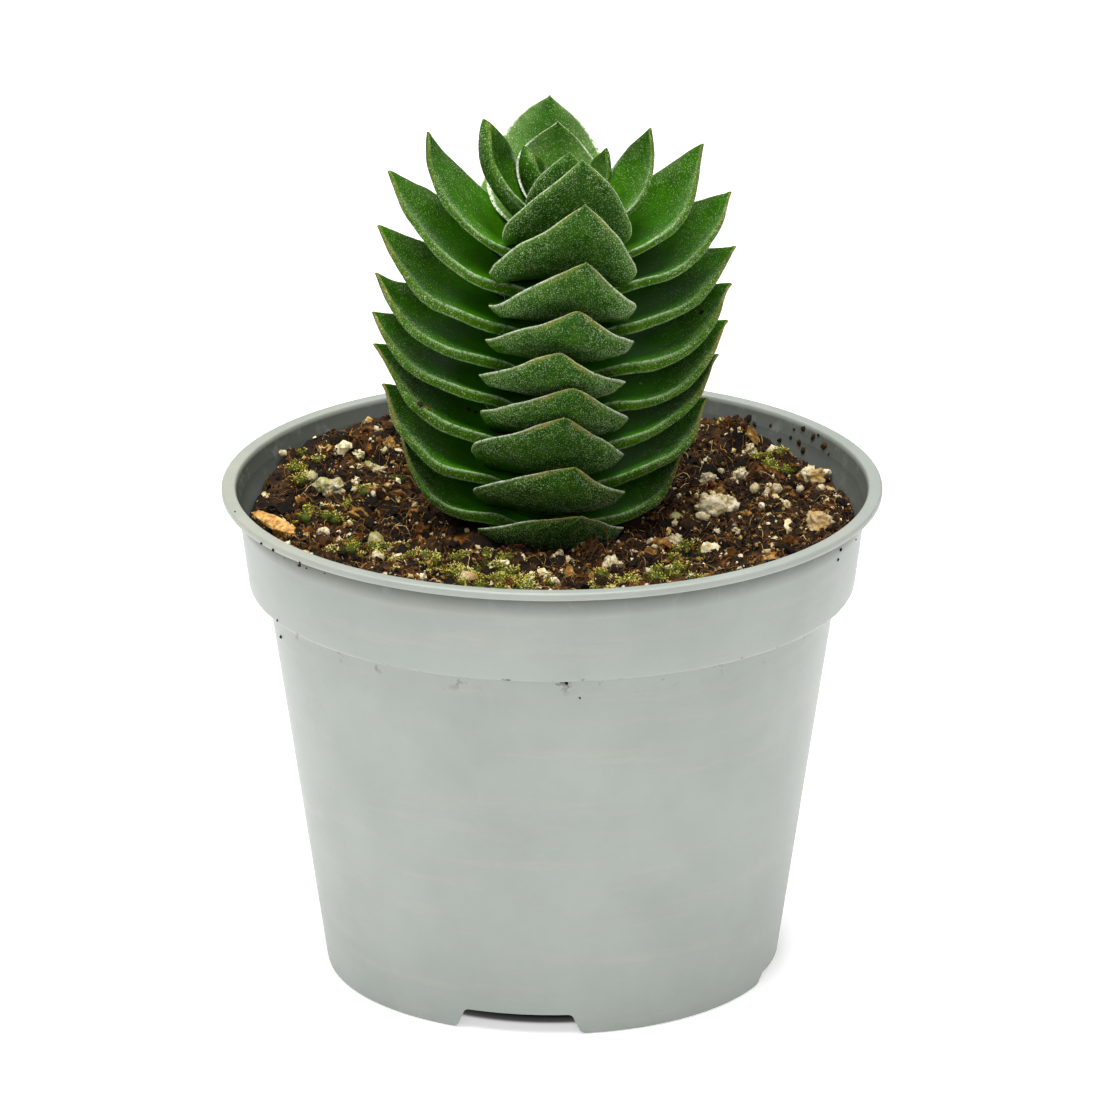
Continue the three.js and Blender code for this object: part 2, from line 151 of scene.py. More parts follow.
# %% Camera
CAMERA_PITCH_DEG = 19.45
CAMERA_DISTANCE = 1500
CAMERA_AIM = (-0.27, 0, 58.8)
CAMERA_LENS = 360

pitch = math.radians(CAMERA_PITCH_DEG)
back = Vector((0, -math.cos(pitch), math.sin(pitch)))
camera = bpy.data.objects.new("camera", bpy.data.cameras.new("camera"))
camera.data.lens = CAMERA_LENS
camera.data.clip_start = 0.1  # in metres: nothing is nearer than this
camera.location = (Vector(CAMERA_AIM) + CAMERA_DISTANCE * back) * MM
camera.rotation_mode = "QUATERNION"
camera.rotation_quaternion = (-back).to_track_quat("-Z", "Y")
bpy.context.scene.collection.objects.link(camera)
bpy.context.scene.camera = camera
print("camera at", [round(x, 3) for x in camera.location])

# %% [markdown]
# The pot is polypropylene, moulded thin so that thousands stack in a box. Moulded plastic has no
# sharp corner anywhere, and it is the small rounded edges that catch the light. The pot could be a
# cylinder with bevels, but it is easier to draw its outline with a radius at each corner and turn
# it round the axis, as on a potter's wheel.

# %% An outline with rounded corners
STEP = 3  # the longest stretch, so that there are points enough to carry marks


def rounded(corners, steps=5):
    """The points of an outline through corners (radius, height, rounding), with an arc at each."""
    places = np.array([corner[:2] for corner in corners], float)
    line = [places[0]]
    for i in range(1, len(corners) - 1):
        here, rounding = places[i], corners[i][2]
        to_last, to_next = places[i - 1] - here, places[i + 1] - here
        to_last, to_next = to_last / np.linalg.norm(to_last), to_next / np.linalg.norm(to_next)
        reach = rounding / math.tan(math.acos(np.clip(to_last @ to_next, -1, 1)) / 2)
        start, end = here + to_last * reach, here + to_next * reach
        for t in np.linspace(0, 1, steps):
            line.append((1 - t) ** 2 * start + 2 * t * (1 - t) * here + t ** 2 * end)
    line.append(places[-1])
    outline = [line[0]]
    for start, end in zip(line, line[1:]):
        parts = math.ceil(np.linalg.norm(end - start) / STEP - 1e-9)
        outline += [start + (end - start) * (k + 1) / parts for k in range(parts)]
    return np.array(outline)


def turned(line, sides):
    """Points and faces of an outline turned round the Z axis. Its ends are on the axis."""
    angles = np.arange(sides) * 2 * math.pi / sides
    rings = [np.stack([r * np.cos(angles), r * np.sin(angles), np.full(sides, z)], 1) for r, z in line[1:-1]]
    points = np.concatenate([*rings, [[0, 0, line[0][1]], [0, 0, line[-1][1]]]])
    first, last = len(points) - 2, len(points) - 1
    faces = []
    for i in range(sides):
        j = (i + 1) % sides
        faces.append([first, j, i])
        for k in range(0, len(rings) * sides - sides, sides):
            faces.append([k + i, k + j, k + sides + j, k + sides + i])
        faces.append([last, len(rings) * sides - sides + i, len(rings) * sides - sides + j])
    return points, faces


print("a corner becomes", len(rounded([(0, 0, 0), (2, 0, 0.5), (2, 2, 0)])) - 2, "points")

# %% [markdown]
# The pot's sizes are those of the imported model. Its outline starts on the axis under the floor, goes
# round the foot, up the outside, over the lip and down the inside, and ends on the axis again. The
# turned shape has 192 sides, enough that the rim looks round in a close view.

# %% The pot's own sizes
RIM_RADIUS, POT_HEIGHT, WALL = 45, 68.5, 0.8
LIP_UNDERSIDE = POT_HEIGHT - 1.1
COLLAR_TOP_RADIUS, COLLAR_FOOT_RADIUS, COLLAR_FOOT_HEIGHT = 42.9, 41.3, 54.6
BODY_TOP_RADIUS, FOOT_RADIUS, FOOT_WALL = 38.9, 30.9, 1.4
FLOOR_UNDERSIDE, FLOOR_TOP = 3.7, 4.6
POT_OUTLINE = [  # radius, height, rounding
    (0, FLOOR_UNDERSIDE, 0),
    (FOOT_RADIUS - FOOT_WALL, FLOOR_UNDERSIDE, 0.3),
    (FOOT_RADIUS - FOOT_WALL, 0, 0.3),
    (FOOT_RADIUS, 0, 0.6),
    (BODY_TOP_RADIUS, COLLAR_FOOT_HEIGHT, 0.4),
    (COLLAR_FOOT_RADIUS, COLLAR_FOOT_HEIGHT, 0.7),
    (COLLAR_TOP_RADIUS, LIP_UNDERSIDE, 0.4),
    (RIM_RADIUS, LIP_UNDERSIDE, 0.4),
    (RIM_RADIUS, POT_HEIGHT, 0.45),
    (COLLAR_TOP_RADIUS + 0.25, POT_HEIGHT, 0.35),
    (COLLAR_TOP_RADIUS, POT_HEIGHT - 0.75, 0),
    (COLLAR_TOP_RADIUS - 0.55, POT_HEIGHT - 2.4, 0.8),
    (COLLAR_FOOT_RADIUS - WALL, COLLAR_FOOT_HEIGHT + WALL, 0.4),
    (BODY_TOP_RADIUS - WALL, COLLAR_FOOT_HEIGHT + WALL, 0.5),
    (FOOT_RADIUS + 0.6 - WALL, FLOOR_TOP, 0.5),
    (0, FLOOR_TOP, 0),
]
pot_points, pot_faces = turned(rounded(POT_OUTLINE), 192)
print("pot outline", len(rounded(POT_OUTLINE)), "points")

# %% [markdown]
# Polypropylene is milky and a little waxy, with an IOR of 1.49. The mould was not polished, which
# leaves a matt skin with faint cloudy flow marks, and handling adds pale scuffs. Wet soil has left
# dark specks under the lip and along the foot of the collar, and a yellowish film on the lip. The
# inside is painted darker, strongest near the lip and on the left: painted shade under the rim, with
# some dirt in it. These could be painted as an image, but marks on the mesh that are broken up by
# noise stay sharp at any distance. The darker inside is also made matt, as dirt is.

# %% Moulded polypropylene
plastic, tree, shader, place = new_material("moulded_polypropylene", IOR=1.49)
flow = node(tree, "TexNoise", {"Vector": place, "Scale": per_mm(14), "Detail": 4, "Roughness": 0.6})
colour = node(tree, "ValToRGB", {"Fac": flow}, ramp=[(0.3, "#878d87"), (0.7, "#909690")])
lengthwise = node(tree, "Mapping", {"Vector": place, "Scale": (1, 1, 9)})
scuffs = node(tree, "TexNoise", {"Vector": lengthwise, "Scale": per_mm(30), "Detail": 6, "Roughness": 0.7})
scuffed = node(tree, "MapRange", {"Value": scuffs, "From Min": 0.5, "From Max": 0.75, "To Max": 0.35})
colour = node(tree, "Mix", {"Factor": scuffed, "A": colour, "B": "#a19f95"}, data_type="RGBA")
smear = node(tree, "TexNoise", {"Vector": place, "Scale": per_mm(3), "Detail": 5, "Roughness": 0.7})
# Of these marks, the darker inside is painted shade under the rim, with some dirt in it.
for dirt, dirt_colour, low, high in [("film", "#a8a284", 0.3, 0.75), ("inner_shade_and_dirt", "#393c35", 0, 0.45),
                                     ("specks", "#453d31", 0.58, 0.64)]:
    patchy = node(tree, "MapRange", {"Value": smear, "From Min": low, "From Max": high})
    marked = node(tree, "Attribute", attribute_name=dirt).outputs["Fac"]
    share = node(tree, "Math", {0: patchy, 1: marked}, operation="MULTIPLY", use_clamp=True)
    colour = node(tree, "Mix", {"Factor": share, "A": colour, "B": dirt_colour}, data_type="RGBA")
feed(colour, shader.inputs["Base Color"])
inner_shade_and_dirt = node(tree, "Attribute", attribute_name="inner_shade_and_dirt").outputs["Fac"]
for socket, clean, dirty in [("Roughness", 0.42, 0.85), ("Specular IOR Level", 0.5, 0.1)]:
    dulled = node(tree, "MapRange", {"Value": inner_shade_and_dirt, "To Min": clean, "To Max": dirty})
    feed(dulled, shader.inputs[socket])
grain = node(tree, "TexNoise", {"Vector": place, "Scale": per_mm(0.5), "Detail": 2})
bump = node(tree, "Bump", {"Height": grain, "Strength": 0.3, "Distance": 0.1 * MM})
feed(bump, shader.inputs["Normal"])
print(plastic.name, "has", len(tree.nodes), "nodes")

# %% [markdown]
# The foot ring has notches, so that water drains away under the pot, and the floor has round holes.
# Cutting them out of the turned shape with a boolean is the quick way, and it is close to how the
# steel mould was made: turned first, then milled. Only the front notch is seen in the photograph.
# The other three are a guess, lower than the front one, since no bite shows in the outline there.

# %% Cut the notches and the drain holes
NOTCH_TURN_DEG, NOTCH_COUNT, OTHER_NOTCHES = -8.6, 4, 0.5
NOTCH_TOP_WIDTH, NOTCH_HEIGHT, NOTCH_ROUNDING = 15.2, 3.1, 0.8
NOTCH_FOOT = [(9.9, -1), (9.3, 0), (8.75, 0.2), (8.4, 0.55), (8.15, 1.1)]  # flared: half width, height
NOTCH_FROM, NOTCH_TO = 20, 40
DRAIN_RADIUS, DRAIN_CIRCLE, DRAIN_COUNT, DRAIN_SIDES = 3, 20, 8, 32
cut_points, cut_faces = [], []


def cut_out(outline, low, high, matrix):
    """Adds a prism to what is cut away: an outline in X and Y from low to high in Z, then moved."""
    start, count = len(cut_points), len(outline)
    sides = [[i, (i + 1) % count, (i + 1) % count + count, i + count] for i in range(count)]
    ends = [list(range(count))[::-1], list(range(count, 2 * count))]
    cut_faces.extend([start + k for k in face] for face in sides + ends)
    cut_points.extend(list(matrix @ Vector((x, y, z))) for z in (low, high) for x, y in outline)


quarter = [(math.cos(a), math.sin(a)) for a in np.linspace(0.15, math.pi / 2, 6)]
corner_x, corner_y = NOTCH_TOP_WIDTH / 2 - NOTCH_ROUNDING, NOTCH_HEIGHT - NOTCH_ROUNDING
right_half = NOTCH_FOOT + [(corner_x + NOTCH_ROUNDING * x, corner_y + NOTCH_ROUNDING * y) for x, y in quarter]
notch = right_half + [(-x, y) for x, y in right_half[::-1]]
for i in range(NOTCH_COUNT):
    turn = Matrix.Rotation(math.radians(NOTCH_TURN_DEG) + 2 * math.pi * i / NOTCH_COUNT, 4, "Z")
    stand = Matrix.Rotation(math.pi / 2, 4, "X")
    tall = 1 if i == 0 else OTHER_NOTCHES
    cut_out([(x, y * tall) for x, y in notch], NOTCH_FROM, NOTCH_TO, turn @ stand)
drain = [(DRAIN_RADIUS * math.cos(a), DRAIN_RADIUS * math.sin(a))
         for a in np.linspace(0, 2 * math.pi, DRAIN_SIDES + 1)[:-1]]
for i in range(DRAIN_COUNT):
    angle = (i + 0.5) * 2 * math.pi / DRAIN_COUNT
    shift = Matrix.Translation((DRAIN_CIRCLE * math.cos(angle), DRAIN_CIRCLE * math.sin(angle), 0))
    cut_out(drain, FLOOR_UNDERSIDE - 0.7, FLOOR_TOP + 1.4, shift)

pot = add_piece("pot_shell", pot_points, pot_faces, plastic, ["pot"])
cutter = bpy.data.objects.new("cutter", bpy.data.meshes.new("cutter"))
cutter.data.from_pydata((np.array(cut_points) * MM).tolist(), [], cut_faces)
bpy.context.scene.collection.objects.link(cutter)
boolean = pot.modifiers.new("cut", "BOOLEAN")
boolean.object, boolean.operation, boolean.solver = cutter, "DIFFERENCE", "EXACT"
bpy.context.view_layer.update()
pot_mesh = bpy.data.meshes.new_from_object(pot.evaluated_get(bpy.context.evaluated_depsgraph_get()))
pot.modifiers.clear()
pot.data = pot_mesh
bpy.data.objects.remove(cutter)
pot_mesh.shade_smooth()
pot_mesh.set_sharp_from_angle(angle=math.radians(40))
print("pot faces", len(pot_mesh.polygons))

# %% [markdown]
# Two small functions do most of the shaping from here on. One rises smoothly from 0 to 1 between two
# values, and the other blends two numbers. Here they mark where the pot is dirty, and where its
# inside is painted in shade. That could be painted by hand, but the places follow from the outline,
# so they can be worked out.

# %% Where the pot is dirty and painted in shade
def smoothstep(x, low, high):
    """0 below low, 1 above high, and a smooth change between."""
    t = np.clip((x - low) / (high - low), 0, 1)
    return t * t * (3 - 2 * t)


def mix(a, b, share):
    """The number that lies this share of the way from a to b."""
    return a + (b - a) * share


x, y, z = (np.array([v.co for v in pot_mesh.vertices]) / MM).T
radius, left = np.hypot(x, y), smoothstep(-x, 20, 44)
collar_share = (z - COLLAR_FOOT_HEIGHT) / (LIP_UNDERSIDE - COLLAR_FOOT_HEIGHT)
outside = np.where(z > COLLAR_FOOT_HEIGHT - 0.01, mix(COLLAR_FOOT_RADIUS, COLLAR_TOP_RADIUS, collar_share),
                   mix(FOOT_RADIUS, BODY_TOP_RADIUS, z / COLLAR_FOOT_HEIGHT))
lip_slope = (z > POT_HEIGHT - 2.5) & (radius < COLLAR_TOP_RADIUS + 0.15)
inside = ((radius < outside - 0.3) | lip_slope) & (z < POT_HEIGHT - 0.1)
down_from_lip = smoothstep(POT_HEIGHT - z, 1.2, 5.2)
# The inside is painted darker, more near the lip and on the left: painted shade, with some dirt.
set_number(pot, "inner_shade_and_dirt", inside * mix(0.8, 0.45, down_from_lip) * mix(1, 1.15, left))
set_number(pot, "film", (z > POT_HEIGHT - 1.5) * mix(0.1, 0.5, left))
under_lip = smoothstep(z - LIP_UNDERSIDE, -3.4, -0.1) * (z < LIP_UNDERSIDE + 0.1)
under_collar = smoothstep(z - COLLAR_FOOT_HEIGHT, -2.1, -0.2) * (z < COLLAR_FOOT_HEIGHT + 0.4)
set_number(pot, "specks", ~inside * np.maximum(under_lip, under_collar))
print("soiled points of the pot", int(inside.sum()), "of", len(z))

# %% [markdown]
# The shoot leans a little to the right, and its four ranks are turned a few degrees. The pairs are
# counted from the soil. Even ones point to the front and back, odd ones to the sides. A leaf is
# described by numbers that change up the shoot: how far its tip reaches out and how far it rises
# over its node, how wide it is and how much it is cupped. The rows are a few of the pairs, and the
# pairs between are blended from them. Modelling each leaf by hand would lose their common rule.

# %% The shoot's growth
SOIL_HEIGHT = 63.6
PLANT_X = -2.5
LEAN_RIGHT_DEG, LEAN_BACK_DEG, RANK_TURN_DEG = 4.6, 0.4, 6.7
PAIR_COUNT = 20
FIRST_NODE, INTERNODE, TOP_INTERNODE, CROWDING_STARTS = -1.4, 2.75, 1.0, 11
GROWTH = np.array([  # pair, reach, rise, half width, cup of an even pair's leaf
    [0, 19.3, 8.4, 10, 1.2],
    [1, 19.3, 9.2, 10, 1.2],
    [2, 22.2, 10.4, 10, 1.2],
    [4, 22.8, 12, 10, 1.1],
    [8, 24.2, 10.7, 10, 1],
    [11, 24.3, 11.5, 10, 1],
    [12, 24, 12.2, 10, 0],
    [14, 21.8, 15.4, 10.2, -0.8],
    [16, 15, 16.2, 9, -0.6],
    [17, 11.2, 15, 7.6, 0.4],
    [19, 5.3, 9.5, 3.8, 0.8],
])
FRONT_TURNS_DEG = [9, 3, -1, 1, -4, 0, 1, -1, 0, -2]  # how far each even pair is off its rank
YOUNG_FROM = 11.5  # the pair from which the leaves get younger
SIDE_CUP, LEFT_FOLD, SIDE_TURN_DEG = 1.1, 1.8, 20

axis = Vector((math.sin(math.radians(LEAN_RIGHT_DEG)), math.sin(math.radians(LEAN_BACK_DEG)), 0))
axis.z = math.sqrt(1 - axis.length_squared)
right = Vector((math.cos(math.radians(RANK_TURN_DEG)), math.sin(math.radians(RANK_TURN_DEG)), 0))
right = (right - axis * right.dot(axis)).normalized()
PLANT = Matrix((right, axis.cross(right), axis)).transposed().to_4x4()
PLANT.translation = (PLANT_X, 0, SOIL_HEIGHT)

heights = [FIRST_NODE]
for pair in range(1, PAIR_COUNT):
    crowding = smoothstep(pair, CROWDING_STARTS, PAIR_COUNT - 1)
    heights.append(heights[-1] + mix(INTERNODE, TOP_INTERNODE, crowding))
print("nodes over the soil", [round(float(h), 1) for h in heights])

# %% [markdown]
# Every other size of a leaf follows from its pair's number. Young leaves are thin, stand up and are
# widest further out, as they have not spread yet. The side leaves differ from the front and back
# ones: they turn their faces a little, and they are widest nearer the stem. A table for each leaf
# would do the same with many more numbers, and then nothing would keep the leaves alike.

# %% One leaf's sizes
OUTLINE_POWER = 1.75  # how the width falls towards the tip: 1 is straight, 2 is round


def leaf_sizes(pair):
    """The sizes of the leaves of one pair, in millimetres and radians."""
    reach, rise, half_width, front_cup = (np.interp(pair, GROWTH[:, 0], GROWTH[:, k]) for k in range(1, 5))
    youth = float(smoothstep(pair, YOUNG_FROM, PAIR_COUNT - 1))
    side = pair % 2
    return {
        "side": side, "youth": youth, "reach": reach, "rise": rise, "half_width": half_width,
        "base_slope": math.radians(mix(3, 20, youth ** 2)),
        "tip_slope": math.radians(mix(50, 112, youth)),
        "face_turn": math.radians(SIDE_TURN_DEG) if side else 0,
        "cup": SIDE_CUP if side else front_cup,
        "left_fold": LEFT_FOLD * side * float(smoothstep(pair, 15, 17)),
        "base_cup": mix(-0.6, 1, youth),
        "thickness": mix(2.0, 0.7, youth), "margin": mix(1.7, 0.7, youth),
        "inset": 0.35 if side else mix(1.5, 0.6, youth),
        "hoary": (0.35 if side else 1) * float(smoothstep(pair, 12, 14.5)),
        "widest_at": mix(0.26 if side else 0.36, 0.5, youth ** 3),
        "base_share": mix(6, 2, youth) / half_width,
    }


def width_share(sizes, s):
    """The share of the half width at s, from 0 at the stem to 1 at the tip."""
    if s < sizes["widest_at"]:
        return mix(sizes["base_share"], 1, math.sin(math.pi / 2 * s / sizes["widest_at"]))
    return 1 - ((s - sizes["widest_at"]) / (1 - sizes["widest_at"])) ** OUTLINE_POWER


print("a leaf's width at the stem and half way, as a share of its widest",
      [round(width_share(leaf_sizes(6), s), 2) for s in (0, 0.5)])

# %% [markdown]
# A leaf's cross-section is a closed outline: the smooth upper face, a blunt margin about as thick
# as the leaf, and the underside. On the side leaves the margin is a flat strip, crisp above and
# below, that gets blunt towards the tip. On the front and back leaves it is bevelled into the
# underside. Sweeping the section along the curved midrib, from one tip through the stem to the
# other, makes a whole pair. A bevel could be added later, but drawn into the section, each point
# also carries what it is: underside, strip or edge, and how thickly it is frosted. The material
# reads that. The pale edge line is wider on the youngest leaves and faint on the side leaves.

# %% A leaf's cross-section
UPPER = np.sin(np.linspace(-1, 1, 25) * math.pi / 2)
UNDER = np.linspace(1, -1, 17)[1:-1]
STRIP = np.array([0.07, 0.16, 0.3, 0.45, 0.6, 0.75, 0.88, 0.97])
CRISP_EDGE, BLUNT_EDGE, THIN_TIP = 0.12, 0.55, 0.3  # the radii of an edge, and the tip's thickness


def section(sizes, s, side):
    """Rows (across, up, underside, strip, edge, frost) of the points round the leaf at s."""
    share = width_share(sizes, s)
    width = max(sizes["half_width"] * share, 0.1)
    cup = sizes["cup"] + (sizes["left_fold"] if side < 0 else 0)
    cup = mix(sizes["base_cup"], cup, smoothstep(s, 0, sizes["widest_at"])) * math.sqrt(share)
    middle = mix(sizes["thickness"], THIN_TIP, s ** 3)
    margin = mix(sizes["margin"], THIN_TIP, s ** 3)
    flat, blunt = sizes["side"], float(smoothstep(s, 0.4, 0.75))
    inset = min(sizes["inset"], width * 0.5)
    edge = min(mix(CRISP_EDGE, BLUNT_EDGE, blunt * flat), width * 0.3, margin * 0.4)
    hoary = max(0.7 * blunt * flat, 0.6 * sizes["youth"], sizes["hoary"])
    line_from = 0.96 if sizes["youth"] > 0.5 else 0.99 if sizes["youth"] > 0.1 else 1
    bare = 0.05 + 0.1 * float(smoothstep(s, 0.3, 0.7))
    faint = 1 - 0.55 * flat
    gone = 1 - blunt * flat
    upper = [(v * (width - edge), cup * v * v, 0, 0, faint * gone * (abs(v) >= line_from),
              bare + hoary * (0.4 + 0.6 * v * v)) for v in UPPER]
    strip = []
    for t in STRIP:
        rounding = edge * max(0, 1 - t * margin / edge) ** 2
        bulge = (0.12 if flat else 0.06) * margin * math.sin(math.pi * t)
        turned_under = float(smoothstep(t, 0.85, 1)) if flat else float(smoothstep(t, 0.3, 0.7))
        upper_line = faint * (1 - t * mix(4.5, 3, sizes["youth"]))
        lower_line = 0.25 * flat * (1 - abs(t - 0.92) * 10)
        strip.append((width - inset * t - rounding + bulge, cup - margin * t, turned_under, 1 - turned_under,
                      max(upper_line, lower_line, 0) * gone, mix(1, 0.7, flat * (1 - blunt))))
    low = width - inset - CRISP_EDGE
    under = [(v * low, cup * v * v - mix(middle, margin, v * v), 1, 0, 0,
              0.5 + 0.4 * v * v + 0.2 * sizes["youth"]) for v in UNDER]
    other_strip = [(-x, *rest) for x, *rest in strip[::-1]]
    return np.array(upper + strip + under + other_strip)


print("a section has", len(section(leaf_sizes(6), 0.5, 1)), "points")

# %% [markdown]
# The midrib is a Bezier curve: it leaves the stem almost level and turns up towards the tip. A side
# leaf also turns its face a little towards the front, further along more so. The finished surface is
# made uneven by smooth noise. Part of it is shared by neighbours, because leaves that have grown
# pressed together follow each other's waves, and part is each leaf's own.

# %% Sweep a pair of leaves
noise.seed_set(2)  # without this, noise_vector gives other waves on every run
STATIONS = np.sin(np.linspace(0.02, 1, 37) * math.pi / 2)


def midrib(sizes, s):
    """The midrib at s: distance from the stem and height, and the direction it runs in."""
    chord = math.hypot(sizes["reach"], sizes["rise"])
    tip = np.array([sizes["reach"], sizes["rise"]])
    out = np.array([math.cos(sizes["base_slope"]), math.sin(sizes["base_slope"])])
    up = np.array([math.cos(sizes["tip_slope"]), math.sin(sizes["tip_slope"])])
    a, b, c, d = np.zeros(2), out * chord * 0.45, tip - up * chord * 0.3, tip
    point = (1 - s) ** 3 * a + 3 * s * (1 - s) ** 2 * b + 3 * s * s * (1 - s) * c + s ** 3 * d
    along = 3 * (1 - s) ** 2 * (b - a) + 6 * s * (1 - s) * (c - b) + 3 * s * s * (d - c)
    return point, along / np.linalg.norm(along)


def leaf_ring(sizes, s, side):
    """The section at s on side 1 or -1, placed in the pair's own frame, with its marks and s."""
    point, along = midrib(sizes, s)
    ring = section(sizes, s, side)
    turn = sizes["face_turn"] * side * smoothstep(s, 0.2, 0.9)
    across, up = ring[:, 0], ring[:, 1]
    lifted = up * math.cos(turn) + across * math.sin(turn)
    over = across * math.cos(turn) - up * math.sin(turn)
    outwards, upwards = point[0] - along[1] * lifted, point[1] + along[0] * lifted
    placed = np.stack([side * outwards, side * over, upwards], 1)
    placed = np.column_stack([placed, ring[:, 2:], np.full(len(ring), s)])
    if side < 0:
        placed = placed[np.r_[len(UPPER) - 1:-1:-1, len(ring) - 1:len(UPPER) - 1:-1]]
    return placed


def leaf_pair(sizes):
    """A grid of rings from tip to tip: for each point X, Y, Z, underside, strip, edge, frost, s."""
    one_leaf = [leaf_ring(sizes, s, -1) for s in STATIONS[::-1]]
    return np.array(one_leaf + [leaf_ring(sizes, s, 1) for s in STATIONS])


def grid_faces(rows, columns):
    """Faces of a grid that closes round its columns, with a face at each end."""
    k, i = np.meshgrid(np.arange(rows - 1) * columns, np.arange(columns), indexing="ij")
    j = (i + 1) % columns
    quads = np.stack([k + j, k + i, k + columns + i, k + columns + j], -1).reshape(-1, 4).tolist()
    last = (rows - 1) * columns
    return quads + [list(range(columns)), list(range(last + columns - 1, last - 1, -1))]


def uneven(points, size, amount, offset=0):
    """Moves points by smooth noise with bumps of this size, in millimetres."""
    shift = [noise.noise_vector(Vector(p) / size + Vector((offset, 0, offset))) for p in points]
    return points + amount * np.array(shift)


print("a leaf pair has", len(leaf_pair(leaf_sizes(6))), "rings")

# %% [markdown]
# The underside and the margins are frosted with papillae: tiny white outgrowths of single cells
# that keep the sun off. On the real leaf they are about 0.1 mm apart. Here they are fewer and a
# little larger, as fine as the picture can show. A shader could paint them as dots, but only real
# points break the clean edge of the leaf against the light, so each one is a three-sided pyramid,
# fused into the leaf's mesh. Most stand on the margins and the frosted faces.

# %% Papillae
random = np.random.default_rng(7)
PAPILLA_HEIGHT, PAPILLA_RADIUS, PAPILLA_SUNK = (0.06, 0.14), (0.035, 0.07), 0.03


def pyramids(bases, directions, wide, tall):
    """Points and triangles of three-sided pyramids, closed below, that stand on their bases."""
    some_way = random.normal(size=bases.shape)
    first = np.cross(directions, some_way)
    first /= np.linalg.norm(first, axis=1, keepdims=True)
    second = np.cross(directions, first)
    corners = [bases + wide[:, None] * (math.cos(a) * first + math.sin(a) * second)
               for a in (0, 2 * math.pi / 3, 4 * math.pi / 3)]
    points = np.stack([*corners, bases + tall[:, None] * directions], 1).reshape(-1, 3)
    start = np.arange(len(bases))[:, None, None] * 4
    return points, (start + np.array([[2, 1, 0], [0, 1, 3], [1, 2, 3], [2, 0, 3]])).reshape(-1, 3)


def papillae(grid, density):
    """Pyramids on the quads of a grid of points, with this density on each, for 1 mm2."""
    a, b = grid[:-1], grid[1:]
    c, d = np.roll(b, -1, 1), np.roll(a, -1, 1)
    normal = np.cross(b - d, c - a)
    area = np.linalg.norm(normal, axis=2) / 2
    count = random.poisson(area * density)
    row, column = (np.repeat(index.ravel(), count.ravel()) for index in np.indices(count.shape))
    u, v = random.random((2, len(row), 1))
    base = mix(mix(a[row, column], b[row, column], u), mix(d[row, column], c[row, column], u), v)
    normal = normal[row, column] / (2 * area[row, column][:, None] + 1e-9)
    lean = normal + random.normal(0, 0.2, normal.shape)
    lean /= np.linalg.norm(lean, axis=1, keepdims=True)
    tall, wide = random.uniform(*PAPILLA_HEIGHT, len(row)), random.uniform(*PAPILLA_RADIUS, len(row))
    return pyramids(base - PAPILLA_SUNK * normal, lean, wide, tall)


print("papillae are", PAPILLA_HEIGHT, "mm tall")

# %% [markdown]
# The leaf's skin is wax over green flesh, with an IOR near 1.45. A little light goes through the
# flesh and comes out yellower, which is what subsurface does. The upper face is smooth and deep
# green. On the older leaves it is painted a brighter green near the stem, where it lies in shade:
# painted light that lifts the shade between the leaves. The underside is a darker, greyer green.
# Young leaves are paler all over, and frosted skin has a milky film. The colours are ramps driven by
# noise that is about 2 mm wide, like the mottling of the real leaf.

# %% Leaf skin: its greens
leaf_skin, tree, shader, place = new_material(
    "waxy_leaf_skin", IOR=1.45, Subsurface_Weight=0.2, Subsurface_Scale=0.0015)
shader.inputs["Subsurface Radius"].default_value = (0.6, 1, 0.15)
marks = {name: node(tree, "Attribute", attribute_name=name).outputs["Fac"]
         for name in ("under", "strip", "edge", "frost", "along", "papilla", "age")}
mottle = node(tree, "TexNoise", {"Vector": place, "Scale": per_mm(2.2), "Detail": 4, "Roughness": 0.65})
upper = node(tree, "ValToRGB", {"Fac": mottle}, ramp=[(0.3, "#235400"), (0.7, "#387000")])
under = node(tree, "ValToRGB", {"Fac": mottle}, ramp=[(0.35, "#183f00"), (0.65, "#2f570c")])
strip = node(tree, "ValToRGB", {"Fac": mottle}, ramp=[(0.3, "#264c00"), (0.7, "#3e6208")])
near_stem = node(tree, "MapRange", {"Value": marks["along"], "From Min": 0.65, "From Max": 0.1})
shaded = node(tree, "MapRange", {"Value": marks["age"], "From Min": 0.2, "From Max": 0.55})
milky = node(tree, "MapRange", {"Value": marks["frost"], "From Min": 0.5, "From Max": 1.1, "To Max": 0.45})
young = node(tree, "MapRange", {"Value": marks["age"], "From Min": 0.2, "From Max": 0, "To Max": 0.5})
# Painted light: near the stem of the older, shaded leaves the green is lifted, as if light came in between
# them.
painted_light_near_stem = node(tree, "Math", {0: near_stem, 1: shaded}, operation="MULTIPLY", use_clamp=True)
youngest = node(tree, "Math", {0: young, 1: young}, operation="MULTIPLY", use_clamp=True)
colour = upper
for share, tone in [(painted_light_near_stem, "#48a000"), (milky, "#86a062"), (youngest, "#7a9448"),
                    (marks["under"], under), (marks["strip"], strip)]:
    colour = node(tree, "Mix", {"Factor": share, "A": colour, "B": tone}, data_type="RGBA")
print("marks on the leaves:", *marks)

# %% [markdown]
# Over the greens lie the frost and the edges. Between the papillae in the mesh, the frost is painted
# as pale dots. Real ones are 0.1 mm wide, too fine to show, so the cells are 0.28 mm here. Only some
# cells have a dot, and noise makes the frost thicker in patches. The edge line is broken up by a
# grain of 0.35 mm. It is nearly white on young leaves, and the old tips and margins have dried tan.

